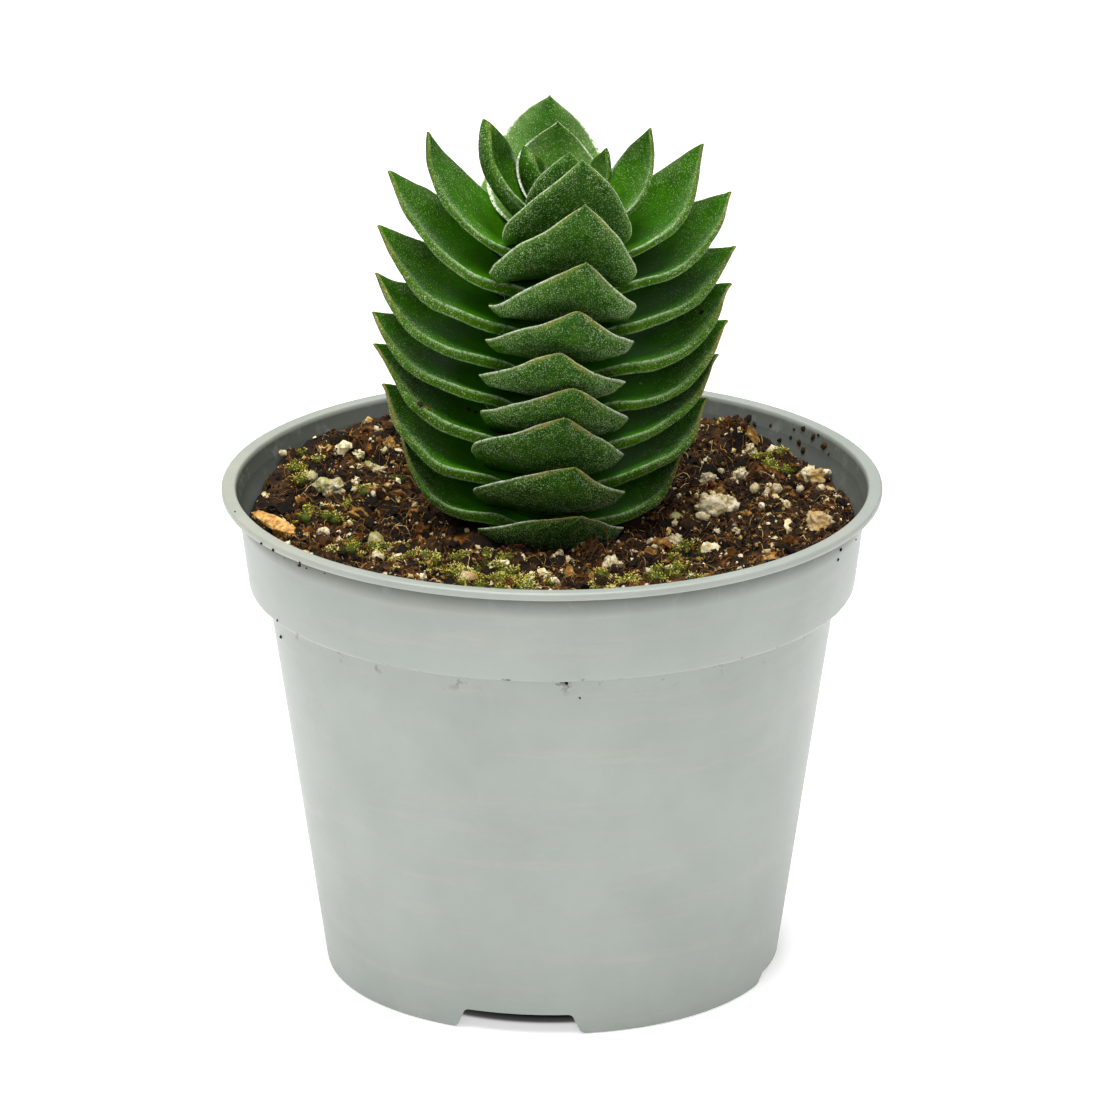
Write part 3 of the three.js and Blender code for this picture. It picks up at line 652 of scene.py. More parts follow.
# %% Leaf skin: frost, edges and dry tips
FROST_CELL = 0.28
cells = node(tree, "TexVoronoi", {"Vector": place, "Scale": per_mm(FROST_CELL), "Randomness": 1})
dots = node(tree, "MapRange", {"Value": cells, "From Min": 0.5, "From Max": 0.15})
chance = node(tree, "SeparateColor", {0: cells.outputs["Color"]})
chosen = node(tree, "MapRange", {"Value": chance.outputs["Red"], "From Min": 0.35, "From Max": 0.9})
patches = node(tree, "TexNoise", {"Vector": place, "Scale": per_mm(2.4), "Detail": 3})
thick = node(tree, "MapRange", {"Value": patches, "From Min": 0.38, "From Max": 0.62, "To Min": 0.35})
dot_tone = node(tree, "Mix", {"Factor": chance.outputs["Green"], "A": "#889c4a", "B": "#cbd6ac"},
                data_type="RGBA")
frosted = marks["frost"]
for share in (thick, dots, chosen):
    frosted = node(tree, "Math", {0: frosted, 1: share}, operation="MULTIPLY", use_clamp=True)
tips = node(tree, "MapRange", {"Value": marks["along"], "From Min": 0.75})
old_tips = node(tree, "Math", {0: tips, 1: marks["age"]}, operation="MULTIPLY", use_clamp=True)
edge_tone = node(tree, "Mix", {"Factor": young, "A": "#dee6cc", "B": "#ffffff"}, data_type="RGBA")
edge_tone = node(tree, "Mix", {"Factor": old_tips, "A": edge_tone, "B": "#a58a5a"}, data_type="RGBA")
grain = node(tree, "TexNoise", {"Vector": place, "Scale": per_mm(0.35), "Detail": 1})
broken = node(tree, "MapRange", {"Value": grain, "From Min": 0.3, "From Max": 0.55})
edge_line = node(tree, "Math", {0: marks["edge"], 1: broken}, operation="MULTIPLY", use_clamp=True)
dry = node(tree, "Math", {0: old_tips, 1: marks["strip"]}, operation="MULTIPLY", use_clamp=True)
dry = node(tree, "Math", {0: dry, 1: thick}, operation="MULTIPLY", use_clamp=True)
for share, tone in [(frosted, dot_tone), (edge_line, edge_tone), (dry, "#a07c3e"),
                    (marks["papilla"], "#c2d0a6")]:
    colour = node(tree, "Mix", {"Factor": share, "A": colour, "B": tone}, data_type="RGBA")
feed(colour, shader.inputs["Base Color"])
print("frost cells", FROST_CELL, "mm wide")

# %% [markdown]
# Wax shines and frost doesn't, so the frosted parts are rougher. Deep between the leaves the skin
# sees only other leaves, and a plain gloss would show the white room there as a grey haze, so the
# gloss fades out towards the stem. The frosted skin is finely wrinkled, and the dots stand up a bit.

# %% Leaf skin: gloss and wrinkles
rough = node(tree, "MapRange", {"Value": marks["frost"], "To Min": 0.38, "To Max": 0.6})
feed(rough, shader.inputs["Roughness"])
gloss = node(tree, "MapRange", {"Value": marks["along"], "From Min": 0.3, "From Max": 0.75,
                                "To Min": 0.01, "To Max": 0.1})
feed(gloss, shader.inputs["Specular IOR Level"])
wrinkles = node(tree, "TexNoise", {"Vector": place, "Scale": per_mm(1.6), "Detail": 3})
deep = node(tree, "Math", {0: marks["frost"], 1: marks["frost"]}, operation="MULTIPLY", use_clamp=True)
wrinkled = node(tree, "Bump", {"Height": wrinkles, "Strength": deep, "Distance": 0.5 * MM})
raised = node(tree, "MapRange", {"Value": cells, "From Min": 0.5, "From Max": 0})
bump = node(tree, "Bump", {"Height": raised, "Strength": 0.5, "Distance": 0.06 * MM, "Normal": wrinkled})
feed(bump, shader.inputs["Normal"])
print(leaf_skin.name, "has", len(tree.nodes), "nodes")

# %% [markdown]
# Now the pairs can be grown, from the soil up. Each is swept in its own frame, moved to its node on
# the shoot and turned into its rank. Only then is it made uneven, so that neighbours share the broad
# waves of the space they lie in. Copies of one leaf would be quicker, but no two leaves are alike.

# %% Grow the pairs
WAVES = [(12, 0.9, 0), (6, 0.4, 1), (1.8, 0.07, 1)]  # size, height, and 1 where a pair has its own
FACE_PAPILLAE, EDGE_PAPILLAE = 15, (8, 30)  # for 1 mm2, on old and young edges
leaf_trees = []


def grow(piece_name, node_name, sizes, move, number):
    """Makes a pair of leaves: the swept surface with its unevenness and its papillae."""
    grid = leaf_pair(sizes)
    shape = grid.shape[:2]
    points = grid[..., :3].reshape(-1, 3) @ np.array(move)[:3, :3].T + np.array(move)[:3, 3]
    for size, amount, own in WAVES:
        points = uneven(points, size, amount, own * number)
    under, strip, edge, frost, along = (grid[..., k].ravel() for k in range(3, 8))
    faces = grid_faces(*shape)
    leaf_trees.append(BVHTree.FromPolygons([tuple(p) for p in points], faces))
    on_face = FACE_PAPILLAE * frost * (1 - 0.8 * under * sizes["side"])
    on_edge = mix(*EDGE_PAPILLAE, sizes["youth"]) * edge
    density = (smoothstep(along, 0.35, 0.5) * (on_face + on_edge)).reshape(shape)[:-1]
    spikes, spike_faces = papillae(points.reshape(*shape, 3), density)
    leaves = add_piece(piece_name, np.concatenate([points, spikes]),
                       faces + (spike_faces + len(points)).tolist(), leaf_skin, [node_name])
    marks_here = {"under": under, "strip": strip, "edge": edge, "frost": frost, "along": along}
    for name, values in marks_here.items():
        set_number(leaves, name, np.r_[values, np.zeros(len(spikes))])
    set_number(leaves, "papilla", np.r_[np.zeros(len(points)), np.ones(len(spikes))])
    set_number(leaves, "age", np.full(len(points) + len(spikes), 1 - number / PAIR_COUNT))
    return len(faces) * 2 + len(spike_faces)


total = 0
for pair in range(PAIR_COUNT):
    off_rank = 0 if pair % 2 else FRONT_TURNS_DEG[pair // 2] - 90
    turn = Matrix.Rotation(math.radians(off_rank), 4, "Z")
    move = PLANT @ Matrix.Translation((0, 0, heights[pair])) @ turn
    name = f"leaf_pair_{pair + 1:02d}"
    total += grow(f"{name}_grown", name, leaf_sizes(pair), move, pair)
print("triangles in the leaves, about", total)

# %% [markdown]
# Between the youngest leaves sits the growing tip, a pair of leaves that has only just begun. It is
# made by the same rule as the others, with a few small sizes. The stem is hidden by the leaves, so
# a smooth tapered sheath does for it.

# %% The growing tip and the stem
TIP_SIZES = {"reach": 2.4, "rise": 6, "half_width": 1.8, "base_share": 0.6, "cup": 0.5}
TIP_OVER_LAST_NODE, TIP_TURN_DEG = 0.9, -92
STEM_LINE = [(0, -24), (3.4, -24), (3.6, -3), (4.6, 0), (4.4, 12), (4.0, 24), (3.0, 34), (0.9, 43.6), (0, 44)]
tip_turn = Matrix.Rotation(math.radians(TIP_TURN_DEG), 4, "Z")
move = PLANT @ Matrix.Translation((0, 0, heights[-1] + TIP_OVER_LAST_NODE)) @ tip_turn
grow("growing_tip_leaves", "growing_tip", leaf_sizes(PAIR_COUNT - 1) | TIP_SIZES, move, PAIR_COUNT)

stem_points, stem_faces = turned(np.array(STEM_LINE, float), 32)
stem_points = stem_points @ np.array(PLANT)[:3, :3].T + np.array(PLANT)[:3, 3]
stem = add_piece("stem_sheath", stem_points, stem_faces, leaf_skin, ["stem"])
set_number(stem, "under", np.ones(len(stem_points)))
print("stem", len(stem_faces), "faces")

# %% [markdown]
# The soil is peat with bits of bark and grit. Its surface is raised and lowered by noise of three
# sizes: broad lumps, clods and crumbs. It isn't level: at the wall it stands higher in some
# directions than in others. Where the lowest leaves rest, it is pressed down under them, which a
# ray shot upwards finds out. A displacement texture could do the noise, but not the leaves.

# %% How high the soil is
big_grains = []
for name in [f"perlite_grain_{i:02d}" for i in range(1, 13)] + ["bark_chip"]:
    low, high = (np.array(corner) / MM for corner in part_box(name))
    big_grains.append(((low + high) / 2, (high - low) / 2))
BANK_FROM, BANK_TO = 24, 39  # the radii between which the soil rises to its height at the wall
BELOW_LEAVES, LEAF_GAP = 50, 0.15  # where rays start, and the room left under a leaf
# Directions, counted from the right, and the soil's height at the wall in each of them.
WALL_DEG = [-15, 25, 40, 52, 62, 85, 130, 152, 168, 190, 205, 235, 270, 310, 345]
WALL_HEIGHT = [64.3, 63.4, 64.6, 66.6, 64.8, 65.2, 66.6, 65.8, 63.4, 62.6, 63.4, 65, 65, 64.6, 64.3]


def soil_height(x, y):
    """The height of the soil's surface at x and y: lumps 9 mm wide, clods 4 mm and crumbs 2.6 mm."""
    lumps = noise.noise(Vector((x / 9, y / 9, 0.3)))
    clods = noise.noise(Vector((x / 4, y / 4, 7.1)))
    crumbs = noise.fractal(Vector((x / 2.6, y / 2.6, 1.7)), 0.6, 2.2, 5)
    angle = (math.degrees(math.atan2(y, x)) + 15) % 360 - 15
    at_wall = np.interp(angle, WALL_DEG, WALL_HEIGHT) - SOIL_HEIGHT
    bank = at_wall * smoothstep(math.hypot(x, y), BANK_FROM, BANK_TO)
    height = SOIL_HEIGHT + bank + 0.8 * lumps + 1.3 * clods + 0.8 * crumbs
    for centre, half in big_grains:
        gap = math.hypot(x - centre[0], y - centre[1]) - max(half[:2])
        if gap < 2.5:
            height = mix(min(height, centre[2] - 0.5 * half[2]), height, smoothstep(gap, 0.5, 2.5))
    return height


def pressed(x, y, height):
    """The height, kept under the lowest leaves."""
    for leaves in leaf_trees[:3]:
        hit = leaves.ray_cast(Vector((x, y, BELOW_LEAVES)), Vector((0, 0, 1)))[0]
        if hit is not None:
            height = min(height, hit.z - LEAF_GAP)
    return height


print("soil in front, half way out, is", round(soil_height(0, -25), 1), "mm high")

# %% [markdown]
# The block of soil is built from rings of points: from the middle out to the wall, and then down
# inside the pot to its floor. A grid of squares would be as easy, but rings meet the round wall
# without steps, and the wall hides where the surface ends.

# %% The block of soil
SOIL_EDGE, SOIL_BOTTOM, SOIL_SIDES, RING_STEP = 41.3, 4.9, 400, 0.45


def ring_points(radius, height_at):
    """Points of a ring round the pot's axis, with a height for each."""
    angles = np.arange(SOIL_SIDES) * 2 * math.pi / SOIL_SIDES
    places = [(radius * math.cos(a), radius * math.sin(a)) for a in angles]
    return [[x, y, height_at(x, y)] for x, y in places]


soil_points = [[0, 0, SOIL_HEIGHT - 5]]  # the middle is hidden by the plant, so it can lie low
ring_radii = np.r_[np.arange(1, SOIL_EDGE - 0.2, RING_STEP), SOIL_EDGE]
for radius in ring_radii:
    soil_points += ring_points(radius, lambda x, y: pressed(x, y, soil_height(x, y)))
BURIED = [(COLLAR_FOOT_RADIUS - WALL - 0.3, 55.8), (BODY_TOP_RADIUS - WALL - 0.3, 55.6),
          (30.8, SOIL_BOTTOM)]  # radius and height of the rings that follow the pot's inside
for radius, level in BURIED:
    soil_points += ring_points(radius, lambda x, y: level)
soil_points.append([0, 0, SOIL_BOTTOM])
soil_faces = []
ring_count = len(ring_radii) + len(BURIED)
for i in range(SOIL_SIDES):
    j = (i + 1) % SOIL_SIDES
    soil_faces.append([0, 1 + i, 1 + j])
    for k in range(1, 1 + (ring_count - 1) * SOIL_SIDES, SOIL_SIDES):
        soil_faces.append([k + i, k + SOIL_SIDES + i, k + SOIL_SIDES + j, k + j])
    soil_faces.append([k + SOIL_SIDES + i, len(soil_points) - 1, k + SOIL_SIDES + j])
print("soil points", len(soil_points))

# %% [markdown]
# Peat is nearly black when wet and brown when dry, and quite matt. The same recipe serves the block
# of soil, its crumbs and its fibres: each point carries a number, and a ramp of peat colours turns
# that number, shifted a little by noise, into a tone. One material for each tone would look spotty.

# %% Peat
PEAT_TONES = [(0.0, "#0d0805"), (0.25, "#1f150c"), (0.43, "#3d2812"), (0.56, "#693f17"), (0.7, "#8b6530"),
              (0.84, "#bb9d5e"), (1.0, "#e2d5ae")]
peat, tree, shader, place = new_material("moist_peat", Roughness=0.9, IOR=1.4, Specular_IOR_Level=0.25)
clods = node(tree, "TexNoise", {"Vector": place, "Scale": per_mm(0.8), "Detail": 5, "Roughness": 0.75})
shift = node(tree, "MapRange", {"Value": clods, "From Min": 0.3, "From Max": 0.7,
                                "To Min": -0.13, "To Max": 0.13})
tint = node(tree, "Attribute", attribute_name="tint").outputs["Fac"]
tone = node(tree, "Math", {0: tint, 1: shift}, operation="ADD", use_clamp=True)
feed(node(tree, "ValToRGB", {"Fac": tone}, ramp=PEAT_TONES), shader.inputs["Base Color"])
fine = node(tree, "TexNoise", {"Vector": place, "Scale": per_mm(0.4), "Detail": 3})
bump = node(tree, "Bump", {"Height": fine, "Strength": 0.9, "Distance": 0.3 * MM})
feed(bump, shader.inputs["Normal"])


def block_tint(place):
    """The tone of the block of soil: dark, with paler clods of two sizes."""
    return 0.2 + 0.35 * noise.noise(Vector(place) / 2.2) + 0.3 * noise.noise(Vector(place) / 6)


soil = add_piece("soil_block", soil_points, soil_faces, peat, ["soil"])
set_number(soil, "tint", [block_tint(place) for place in soil_points])
print(peat.name, "has", len(tree.nodes), "nodes")

# %% [markdown]
# Thousands of crumbs lie on the soil. Each is a small ball of a few facets with its corners pushed
# in and out, stretched, turned and half sunk. A particle system could scatter them, but placing
# them in code keeps the plant's foot and the white grains free.

# %% Balls with facets
def facet_ball(splits):
    """Points and faces of a ball with radius 1, which has 20, 80 or 320 faces for 1, 2 or 3 splits."""
    ball = bmesh.new()
    bmesh.ops.create_icosphere(ball, subdivisions=splits, radius=1)
    points = np.array([v.co[:] for v in ball.verts])
    faces = np.array([[v.index for v in f.verts] for f in ball.faces])
    ball.free()
    return points, faces


OCTAHEDRON = (
    np.array([[1, 0, 0], [-1, 0, 0], [0, 1, 0], [0, -1, 0], [0, 0, 1], [0, 0, -1]], float),
    np.array([[0, 2, 4], [2, 1, 4], [1, 3, 4], [3, 0, 4], [2, 0, 5], [1, 2, 5], [3, 1, 5], [0, 3, 5]]))
BALLS = {0: OCTAHEDRON, 1: facet_ball(1), 2: facet_ball(2), 3: facet_ball(3)}
print("faces of the balls", [len(faces) for points, faces in BALLS.values()])

# %% [markdown]
# A crumb needs a place. It is drawn at random, and one under the lowest leaves, on a large grain or
# against the wall is drawn again. The radius is the root of a random number, or else the crumbs
# would crowd in the middle, where a ring has less room than one further out.

# %% Where crumbs may lie
LOWEST_LEAVES = [(11.5, 10), (10, 13)]  # half sizes of the room they take, along and across


def under_plant(x, y, spare):
    """Whether a point of the soil is taken up by the lowest leaves."""
    local = PLANT.inverted() @ Vector((x, y, SOIL_HEIGHT))
    along, across = abs(local.x), abs(local.y)
    return any(along < half_x + spare and across < half_y + spare for half_x, half_y in LOWEST_LEAVES)


def anywhere():
    """A random place on the soil."""
    radius, angle = SOIL_EDGE * math.sqrt(random.random()), random.uniform(0, 2 * math.pi)
    return radius * math.cos(angle), radius * math.sin(angle)


def on_grain(x, y):
    """Whether a place is on one of the large grains."""
    return any(abs(x - c[0]) < h[0] + 0.3 and abs(y - c[1]) < h[1] + 0.3 for c, h in big_grains)


print("is the middle taken up?", under_plant(0, 0, 0), "and the wall?", under_plant(SOIL_EDGE, 0, 0))

# %% [markdown]
# A crumb also needs a size, a turn and a tone. Crumbs are mostly small with a few large ones, so the
# random share of the size is raised to a power. They are sunk a little, because they lie in peat.
# Most tones are dark, some rusty and a few pale, as they are on the real pot.

# %% Crumbs
PEAT_SHARES = {0.05: 16, 0.18: 21, 0.3: 20, 0.42: 14, 0.55: 11, 0.68: 8, 0.82: 6, 0.95: 4}  # tone: percent


def random_turn():
    """A random rotation matrix."""
    w, x, y, z = random.normal(size=4)
    return np.array(Quaternion((w, x, y, z)).normalized().to_matrix())


def lump(x, y, size, splits, sink, stretch, rough=0.28):
    """A crumb's points: a ball with its corners moved, stretched and turned."""
    ball = BALLS[splits][0] * (1 + rough * random.uniform(-1, 1, (len(BALLS[splits][0]), 1)))
    ball = ball * size / 2 * random.uniform(*stretch, 3) @ random_turn().T
    return ball + [x, y, soil_height(x, y) + size * (0.2 - sink / 2)]


def scatter(count, splits, sizes, tone_at, where=anywhere, sink=0.2, stretch=(0.6, 1.5), rough=0.28):
    """Crumbs on the soil: their points, faces and one tone for each point."""
    points, tints = [], []
    ball, ball_faces = BALLS[splits]
    while len(points) < count:
        x, y = where()
        size = mix(sizes[0], sizes[1], random.random() ** 2.5)
        if math.hypot(x, y) + size / 2 > SOIL_EDGE or under_plant(x, y, size / 2) or on_grain(x, y):
            continue
        points.append(lump(x, y, size, splits, sink, stretch, rough))
        tints.append(tone_at(x, y) + random.normal(0, 0.07, len(ball)))
    faces = np.concatenate([ball_faces + k * len(ball) for k in range(count)])
    return np.concatenate(points), faces, np.concatenate(tints)


def peat_tone(x, y):
    """Mostly dark, some rusty, a few pale, with darker and paler patches."""
    patch = 0.5 * noise.noise(Vector((x / 4, y / 4, 7.1)))
    tone = random.choice(list(PEAT_SHARES), p=np.array(list(PEAT_SHARES.values())) / 100)
    return float(tone + patch + random.normal(0, 0.04))


for name, count, splits, sizes, rough in [("soil_crumbs_coarse", 700, 2, (0.7, 2.0), 0.42),
                                          ("soil_crumbs_fine", 14000, 0, (0.25, 0.85), 0.28)]:
    points, faces, tints = scatter(count, splits, sizes, peat_tone, rough=rough)
    crumbs = add_piece(name, points, faces, peat, sharp_deg=50)
    set_number(crumbs, "tint", tints)
    print(name, len(faces), "triangles")

# %% [markdown]
# What makes peat look like peat is its fibres: rusty and straw-coloured hairs of old moss and roots,
# a few millimetres long, that lie every way over the crumbs. Curves with a bevel would do in a
# still, but plain tubes with three sides are light enough to have thousands of them in one mesh.

# %% Fibres
FIBRE_COUNT, FIBRE_STEPS = 3600, 5
FIBRE_LENGTH, FIBRE_RADIUS, FIBRE_LIFT = (0.8, 3.8), (0.03, 0.075), 0.3
FIBRE_TONES = {0.35: 0.27, 0.55: 0.36, 0.63: 0.23, 0.75: 0.1, 0.88: 0.04}  # tone: share


def fibre(x, y, length, radius, lift):
    """Points of a three-sided tube that wanders over the soil from x and y."""
    angle, bend = random.uniform(0, 2 * math.pi), random.normal(0, 0.35, FIBRE_STEPS)
    points = []
    for k in range(FIBRE_STEPS):
        angle += bend[k]
        x, y = x + math.cos(angle) * length / FIBRE_STEPS, y + math.sin(angle) * length / FIBRE_STEPS
        z = soil_height(x, y) + 0.25 + lift * math.sin(math.pi * k / (FIBRE_STEPS - 1))
        side, up = np.array([-math.sin(angle), math.cos(angle), 0]), np.array([0, 0, 1])
        for turn in (0, 2 * math.pi / 3, 4 * math.pi / 3):
            points.append(np.array([x, y, z]) + radius * (math.cos(turn) * side + math.sin(turn) * up))
    return points


tube_faces = [[0, 2, 1], [3 * FIBRE_STEPS - 3, 3 * FIBRE_STEPS - 2, 3 * FIBRE_STEPS - 1]]
for k in range(0, 3 * FIBRE_STEPS - 3, 3):
    for i in range(3):
        j = (i + 1) % 3
        tube_faces += [[k + i, k + j, k + 3 + j], [k + i, k + 3 + j, k + 3 + i]]
tube_faces = np.array(tube_faces)
points, tints, placed = [], [], 0
while placed < FIBRE_COUNT:
    x, y = anywhere()
    length, radius = random.uniform(*FIBRE_LENGTH), random.uniform(*FIBRE_RADIUS)
    strand = fibre(x, y, length, radius, random.exponential(FIBRE_LIFT))
    ends = np.array(strand)[:, :2]
    if np.hypot(*ends.T).max() > SOIL_EDGE or any(under_plant(px, py, 0) for px, py in ends[::3]):
        continue
    points += strand
    tints += [float(random.choice(list(FIBRE_TONES), p=list(FIBRE_TONES.values())))] * len(strand)
    placed += 1
faces = np.concatenate([tube_faces + k * 3 * FIBRE_STEPS for k in range(placed)])
fibres = add_piece("peat_fibres", points, faces, peat)
set_number(fibres, "tint", tints)
print("fibres", len(faces), "triangles")

# %% [markdown]
# Moss has settled where the soil stays wet, in front and on the left. A tuft is a low dome with tiny
# pointed leaves all over, yellow-green at the top and dark green below. Real moss leaves are a third
# as wide, too fine to show. The same pyramids that made the papillae make moss leaves when they are
# longer, and a plain ball under them closes the gaps.

# %% Moss
MOSS_PATCHES = [  # x, y, radius of the patch, number of tufts
    (-11, -22, 6, 40), (-20, -17, 6, 24), (-4, -28, 6, 26), (-26, -11, 5.5, 18), (-31, 1, 5, 14),
    (8, -28, 6, 18), (16, -25, 3, 12), (19, -17, 2.5, 10), (18, -10, 3, 8), (-33, 16, 5, 14),
    (-26, 9, 4, 12), (30, 22, 4, 8), (24, 32, 4, 10)]
TUFT_RADIUS, LEAF_RADIUS, LEAF_LENGTH, DOME_TONE = (0.35, 1.3), (0.09, 0.17), (0.15, 0.4), 0.25
TUFT_LEAVES, FEWEST_LEAVES = 38, 12  # for a radius of 1 mm, and added to every tuft
MOSS_TONES = [(0.0, "#1c2207"), (0.35, "#4b5512"), (0.6, "#949028"), (0.8, "#cabb42"), (1.0, "#ded28a")]
moss, tree, shader, place = new_material("cushion_moss", Roughness=0.7, IOR=1.4, Specular_IOR_Level=0.3)
tint = node(tree, "Attribute", attribute_name="tint").outputs["Fac"]
feed(node(tree, "ValToRGB", {"Fac": tint}, ramp=MOSS_TONES), shader.inputs["Base Color"])
leaf_tissue = node(tree, "TexNoise", {"Vector": place, "Scale": per_mm(0.3), "Detail": 2})
bump = node(tree, "Bump", {"Height": leaf_tissue, "Strength": 0.5, "Distance": 0.1 * MM})
feed(bump, shader.inputs["Normal"])


def tuft(x, y, radius):
    """Bases, directions and tones of the leaves of one tuft."""
    count = int(TUFT_LEAVES * radius ** 2) + FEWEST_LEAVES
    out = random.normal(size=(count, 3))
    out[:, 2] = abs(out[:, 2]) + 0.2
    out /= np.linalg.norm(out, axis=1, keepdims=True)
    bases = out * radius * random.normal(1, 0.2, (count, 1)) * [1, 1, 0.7] + [x, y, soil_height(x, y)]
    tones = 0.3 + 0.45 * out[:, 2] + random.normal(0, 0.14, count) + random.normal(0, 0.2)
    return bases, out + random.normal(0, 0.4, out.shape), tones


parts, domes = [], []
ball, ball_faces = BALLS[1]
for x, y, spread, count in MOSS_PATCHES:
    for _ in range(count):
        px, py = x + random.normal(0, spread / 2), y + random.normal(0, spread / 2)
        radius = random.uniform(*TUFT_RADIUS)
        if math.hypot(px, py) + radius < SOIL_EDGE and not under_plant(px, py, 0) and not on_grain(px, py):
            parts.append(tuft(px, py, radius))
            domes.append(ball * [radius, radius, 0.75 * radius] + [px, py, soil_height(px, py)])
bases, directions, tones = (np.concatenate([part[k] for part in parts]) for k in range(3))
directions /= np.linalg.norm(directions, axis=1, keepdims=True)
wide, long = random.uniform(*LEAF_RADIUS, len(bases)), random.uniform(*LEAF_LENGTH, len(bases))
points, faces = pyramids(bases, directions, wide, long)
dome_faces = np.concatenate([ball_faces + len(points) + k * len(ball) for k in range(len(domes))])
faces = np.concatenate([faces, dome_faces])
tufts = add_piece("moss_tufts", np.concatenate([points, *domes]), faces, moss)
leaf_tones = np.repeat(tones, 4) + np.tile([-0.12, -0.12, -0.12, 0.15], len(bases))
set_number(tufts, "tint", np.r_[leaf_tones, np.full(len(domes) * len(ball), DOME_TONE)])
print("moss", len(faces), "triangles")

# %% [markdown]
# Perlite is volcanic glass blown up with heat, like popcorn: white, rough and full of pits that hold
# dirt. Old grains take a rusty stain or a green film of algae. The chips are pine bark, flaky and
# layered in tans. Both are matt. The noise is as wide as the pits and the layers, under 1 mm.

# %% Expanded perlite and pine bark
perlite, tree, shader, place = new_material("expanded_perlite", Roughness=0.85, IOR=1.5,
                                            Specular_IOR_Level=0.3)
pits = node(tree, "TexNoise", {"Vector": place, "Scale": per_mm(0.7), "Detail": 4, "Roughness": 0.7})
colour = node(tree, "ValToRGB", {"Fac": pits},
              ramp=[(0.32, "#5e4a2c"), (0.42, "#b3a179"), (0.52, "#dbd0b2"), (0.65, "#efe9d6")])
patches = node(tree, "TexNoise", {"Vector": place, "Scale": per_mm(2), "Detail": 4})
for age, tone, low in [("rusty", "#b0824a", 0.25), ("mossy", "#7f8630", 0.3)]:
    patchy = node(tree, "MapRange", {"Value": patches, "From Min": low, "From Max": low + 0.35})
    marked = node(tree, "Attribute", attribute_name=age).outputs["Fac"]
    share = node(tree, "Math", {0: patchy, 1: marked}, operation="MULTIPLY", use_clamp=True)
    colour = node(tree, "Mix", {"Factor": share, "A": colour, "B": tone}, data_type="RGBA")
feed(colour, shader.inputs["Base Color"])
bump = node(tree, "Bump", {"Height": pits, "Strength": 0.9, "Distance": 0.4 * MM})
feed(bump, shader.inputs["Normal"])

bark, tree, shader, place = new_material("pine_bark", Roughness=0.8, IOR=1.45, Specular_IOR_Level=0.3)
layers = node(tree, "TexNoise", {"Vector": place, "Scale": per_mm(0.9), "Detail": 4, "Roughness": 0.65})
colour = node(tree, "ValToRGB", {"Fac": layers}, ramp=[(0.3, "#6b4418"), (0.5, "#b98a45"), (0.7, "#dcbe80")])
feed(colour, shader.inputs["Base Color"])
bump = node(tree, "Bump", {"Height": layers, "Strength": 0.7, "Distance": 0.4 * MM})
feed(bump, shader.inputs["Normal"])
print(perlite.name, "and", bark.name, "are ready")

# %% [markdown]
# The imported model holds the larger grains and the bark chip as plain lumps. Each is copied, split
# finer and roughened by noise of two sizes, so that it keeps its place and size. Sculpting would do
# it for one, but not for thirteen. A second, thin sliver of bark leans on the wall at the left.

# %% Large grains and bark
RUSTY = [(36.2, -4.1), (-11.3, -25.9), (29.2, -16.5), (38, 12)]  # x, y of stained spots
MOSSY = [(15.6, -24.3), (-6.8, -24.3), (-17.1, -16.5), (-23.9, -9.9), (-28.4, 27.4), (-24.5, 22.9),
         (-30.7, 10.6), (16.9, -0.5), (12, 0)]
STAIN_REACH, STAIN_BLUR, LEAST_STAIN = 4, 2, 0.3
SLIVER_AT, SLIVER_HALF_SIZE, SLIVER_TURN_DEG, SLIVER_TILT_DEG = [-37.8, -5, 64.6], [5, 1.1, 0.32], -57, 18


def roughened(node_name, piece_name, material, coarse, fine):
    """A finer copy of a CAD node, roughened by noise about 1.1 mm and 0.4 mm wide."""
    grain = bmesh.new()
    grain.from_mesh(bpy.data.objects[node_name].data)
    bmesh.ops.remove_doubles(grain, verts=grain.verts, dist=0.01 * MM)
    bmesh.ops.subdivide_edges(grain, edges=grain.edges, cuts=3, smooth=0.6, use_grid_fill=True)
    bmesh.ops.triangulate(grain, faces=grain.faces)
    grain.normal_update()
    points = []
    for vertex in grain.verts:
        p = vertex.co / MM
        push = coarse * (noise.noise(p * 0.9) - 0.15) + fine * (noise.noise(p * 2.6) - 0.2)
        points.append(p + vertex.normal * push)
    faces = [[v.index for v in face.verts] for face in grain.faces]
    grain.free()
    return add_piece(piece_name, [list(p) for p in points], faces, material, [node_name])


def aged(piece):
    """Marks each point with how rusty and how mossy it is, by how near the next such spot is."""
    places = np.array([v.co[:2] for v in piece.data.vertices]) / MM
    for stain, spots in (("rusty", RUSTY), ("mossy", MOSSY)):
        near = np.min([np.hypot(*(places - spot).T) for spot in spots], axis=0)
        set_number(piece, stain, np.maximum(smoothstep(STAIN_REACH - near, 0, STAIN_BLUR), LEAST_STAIN))


for i in range(1, 13):
    aged(roughened(f"perlite_grain_{i:02d}", f"perlite_{i:02d}", perlite, 0.7, 0.45))
chip = roughened("bark_chip", "bark_flake", bark, 0.4, 0.3)

ball, ball_faces = BALLS[3]
flake = ball * (1 + 0.12 * random.uniform(-1, 1, (len(ball), 1))) * SLIVER_HALF_SIZE
tilt = Matrix.Rotation(math.radians(SLIVER_TILT_DEG), 3, "X")
turn = np.array(Matrix.Rotation(math.radians(SLIVER_TURN_DEG), 3, "Z") @ tilt)
add_piece("bark_sliver", flake @ turn.T + SLIVER_AT, ball_faces, bark, sharp_deg=30)
print("bark chip", len(chip.data.polygons), "faces")
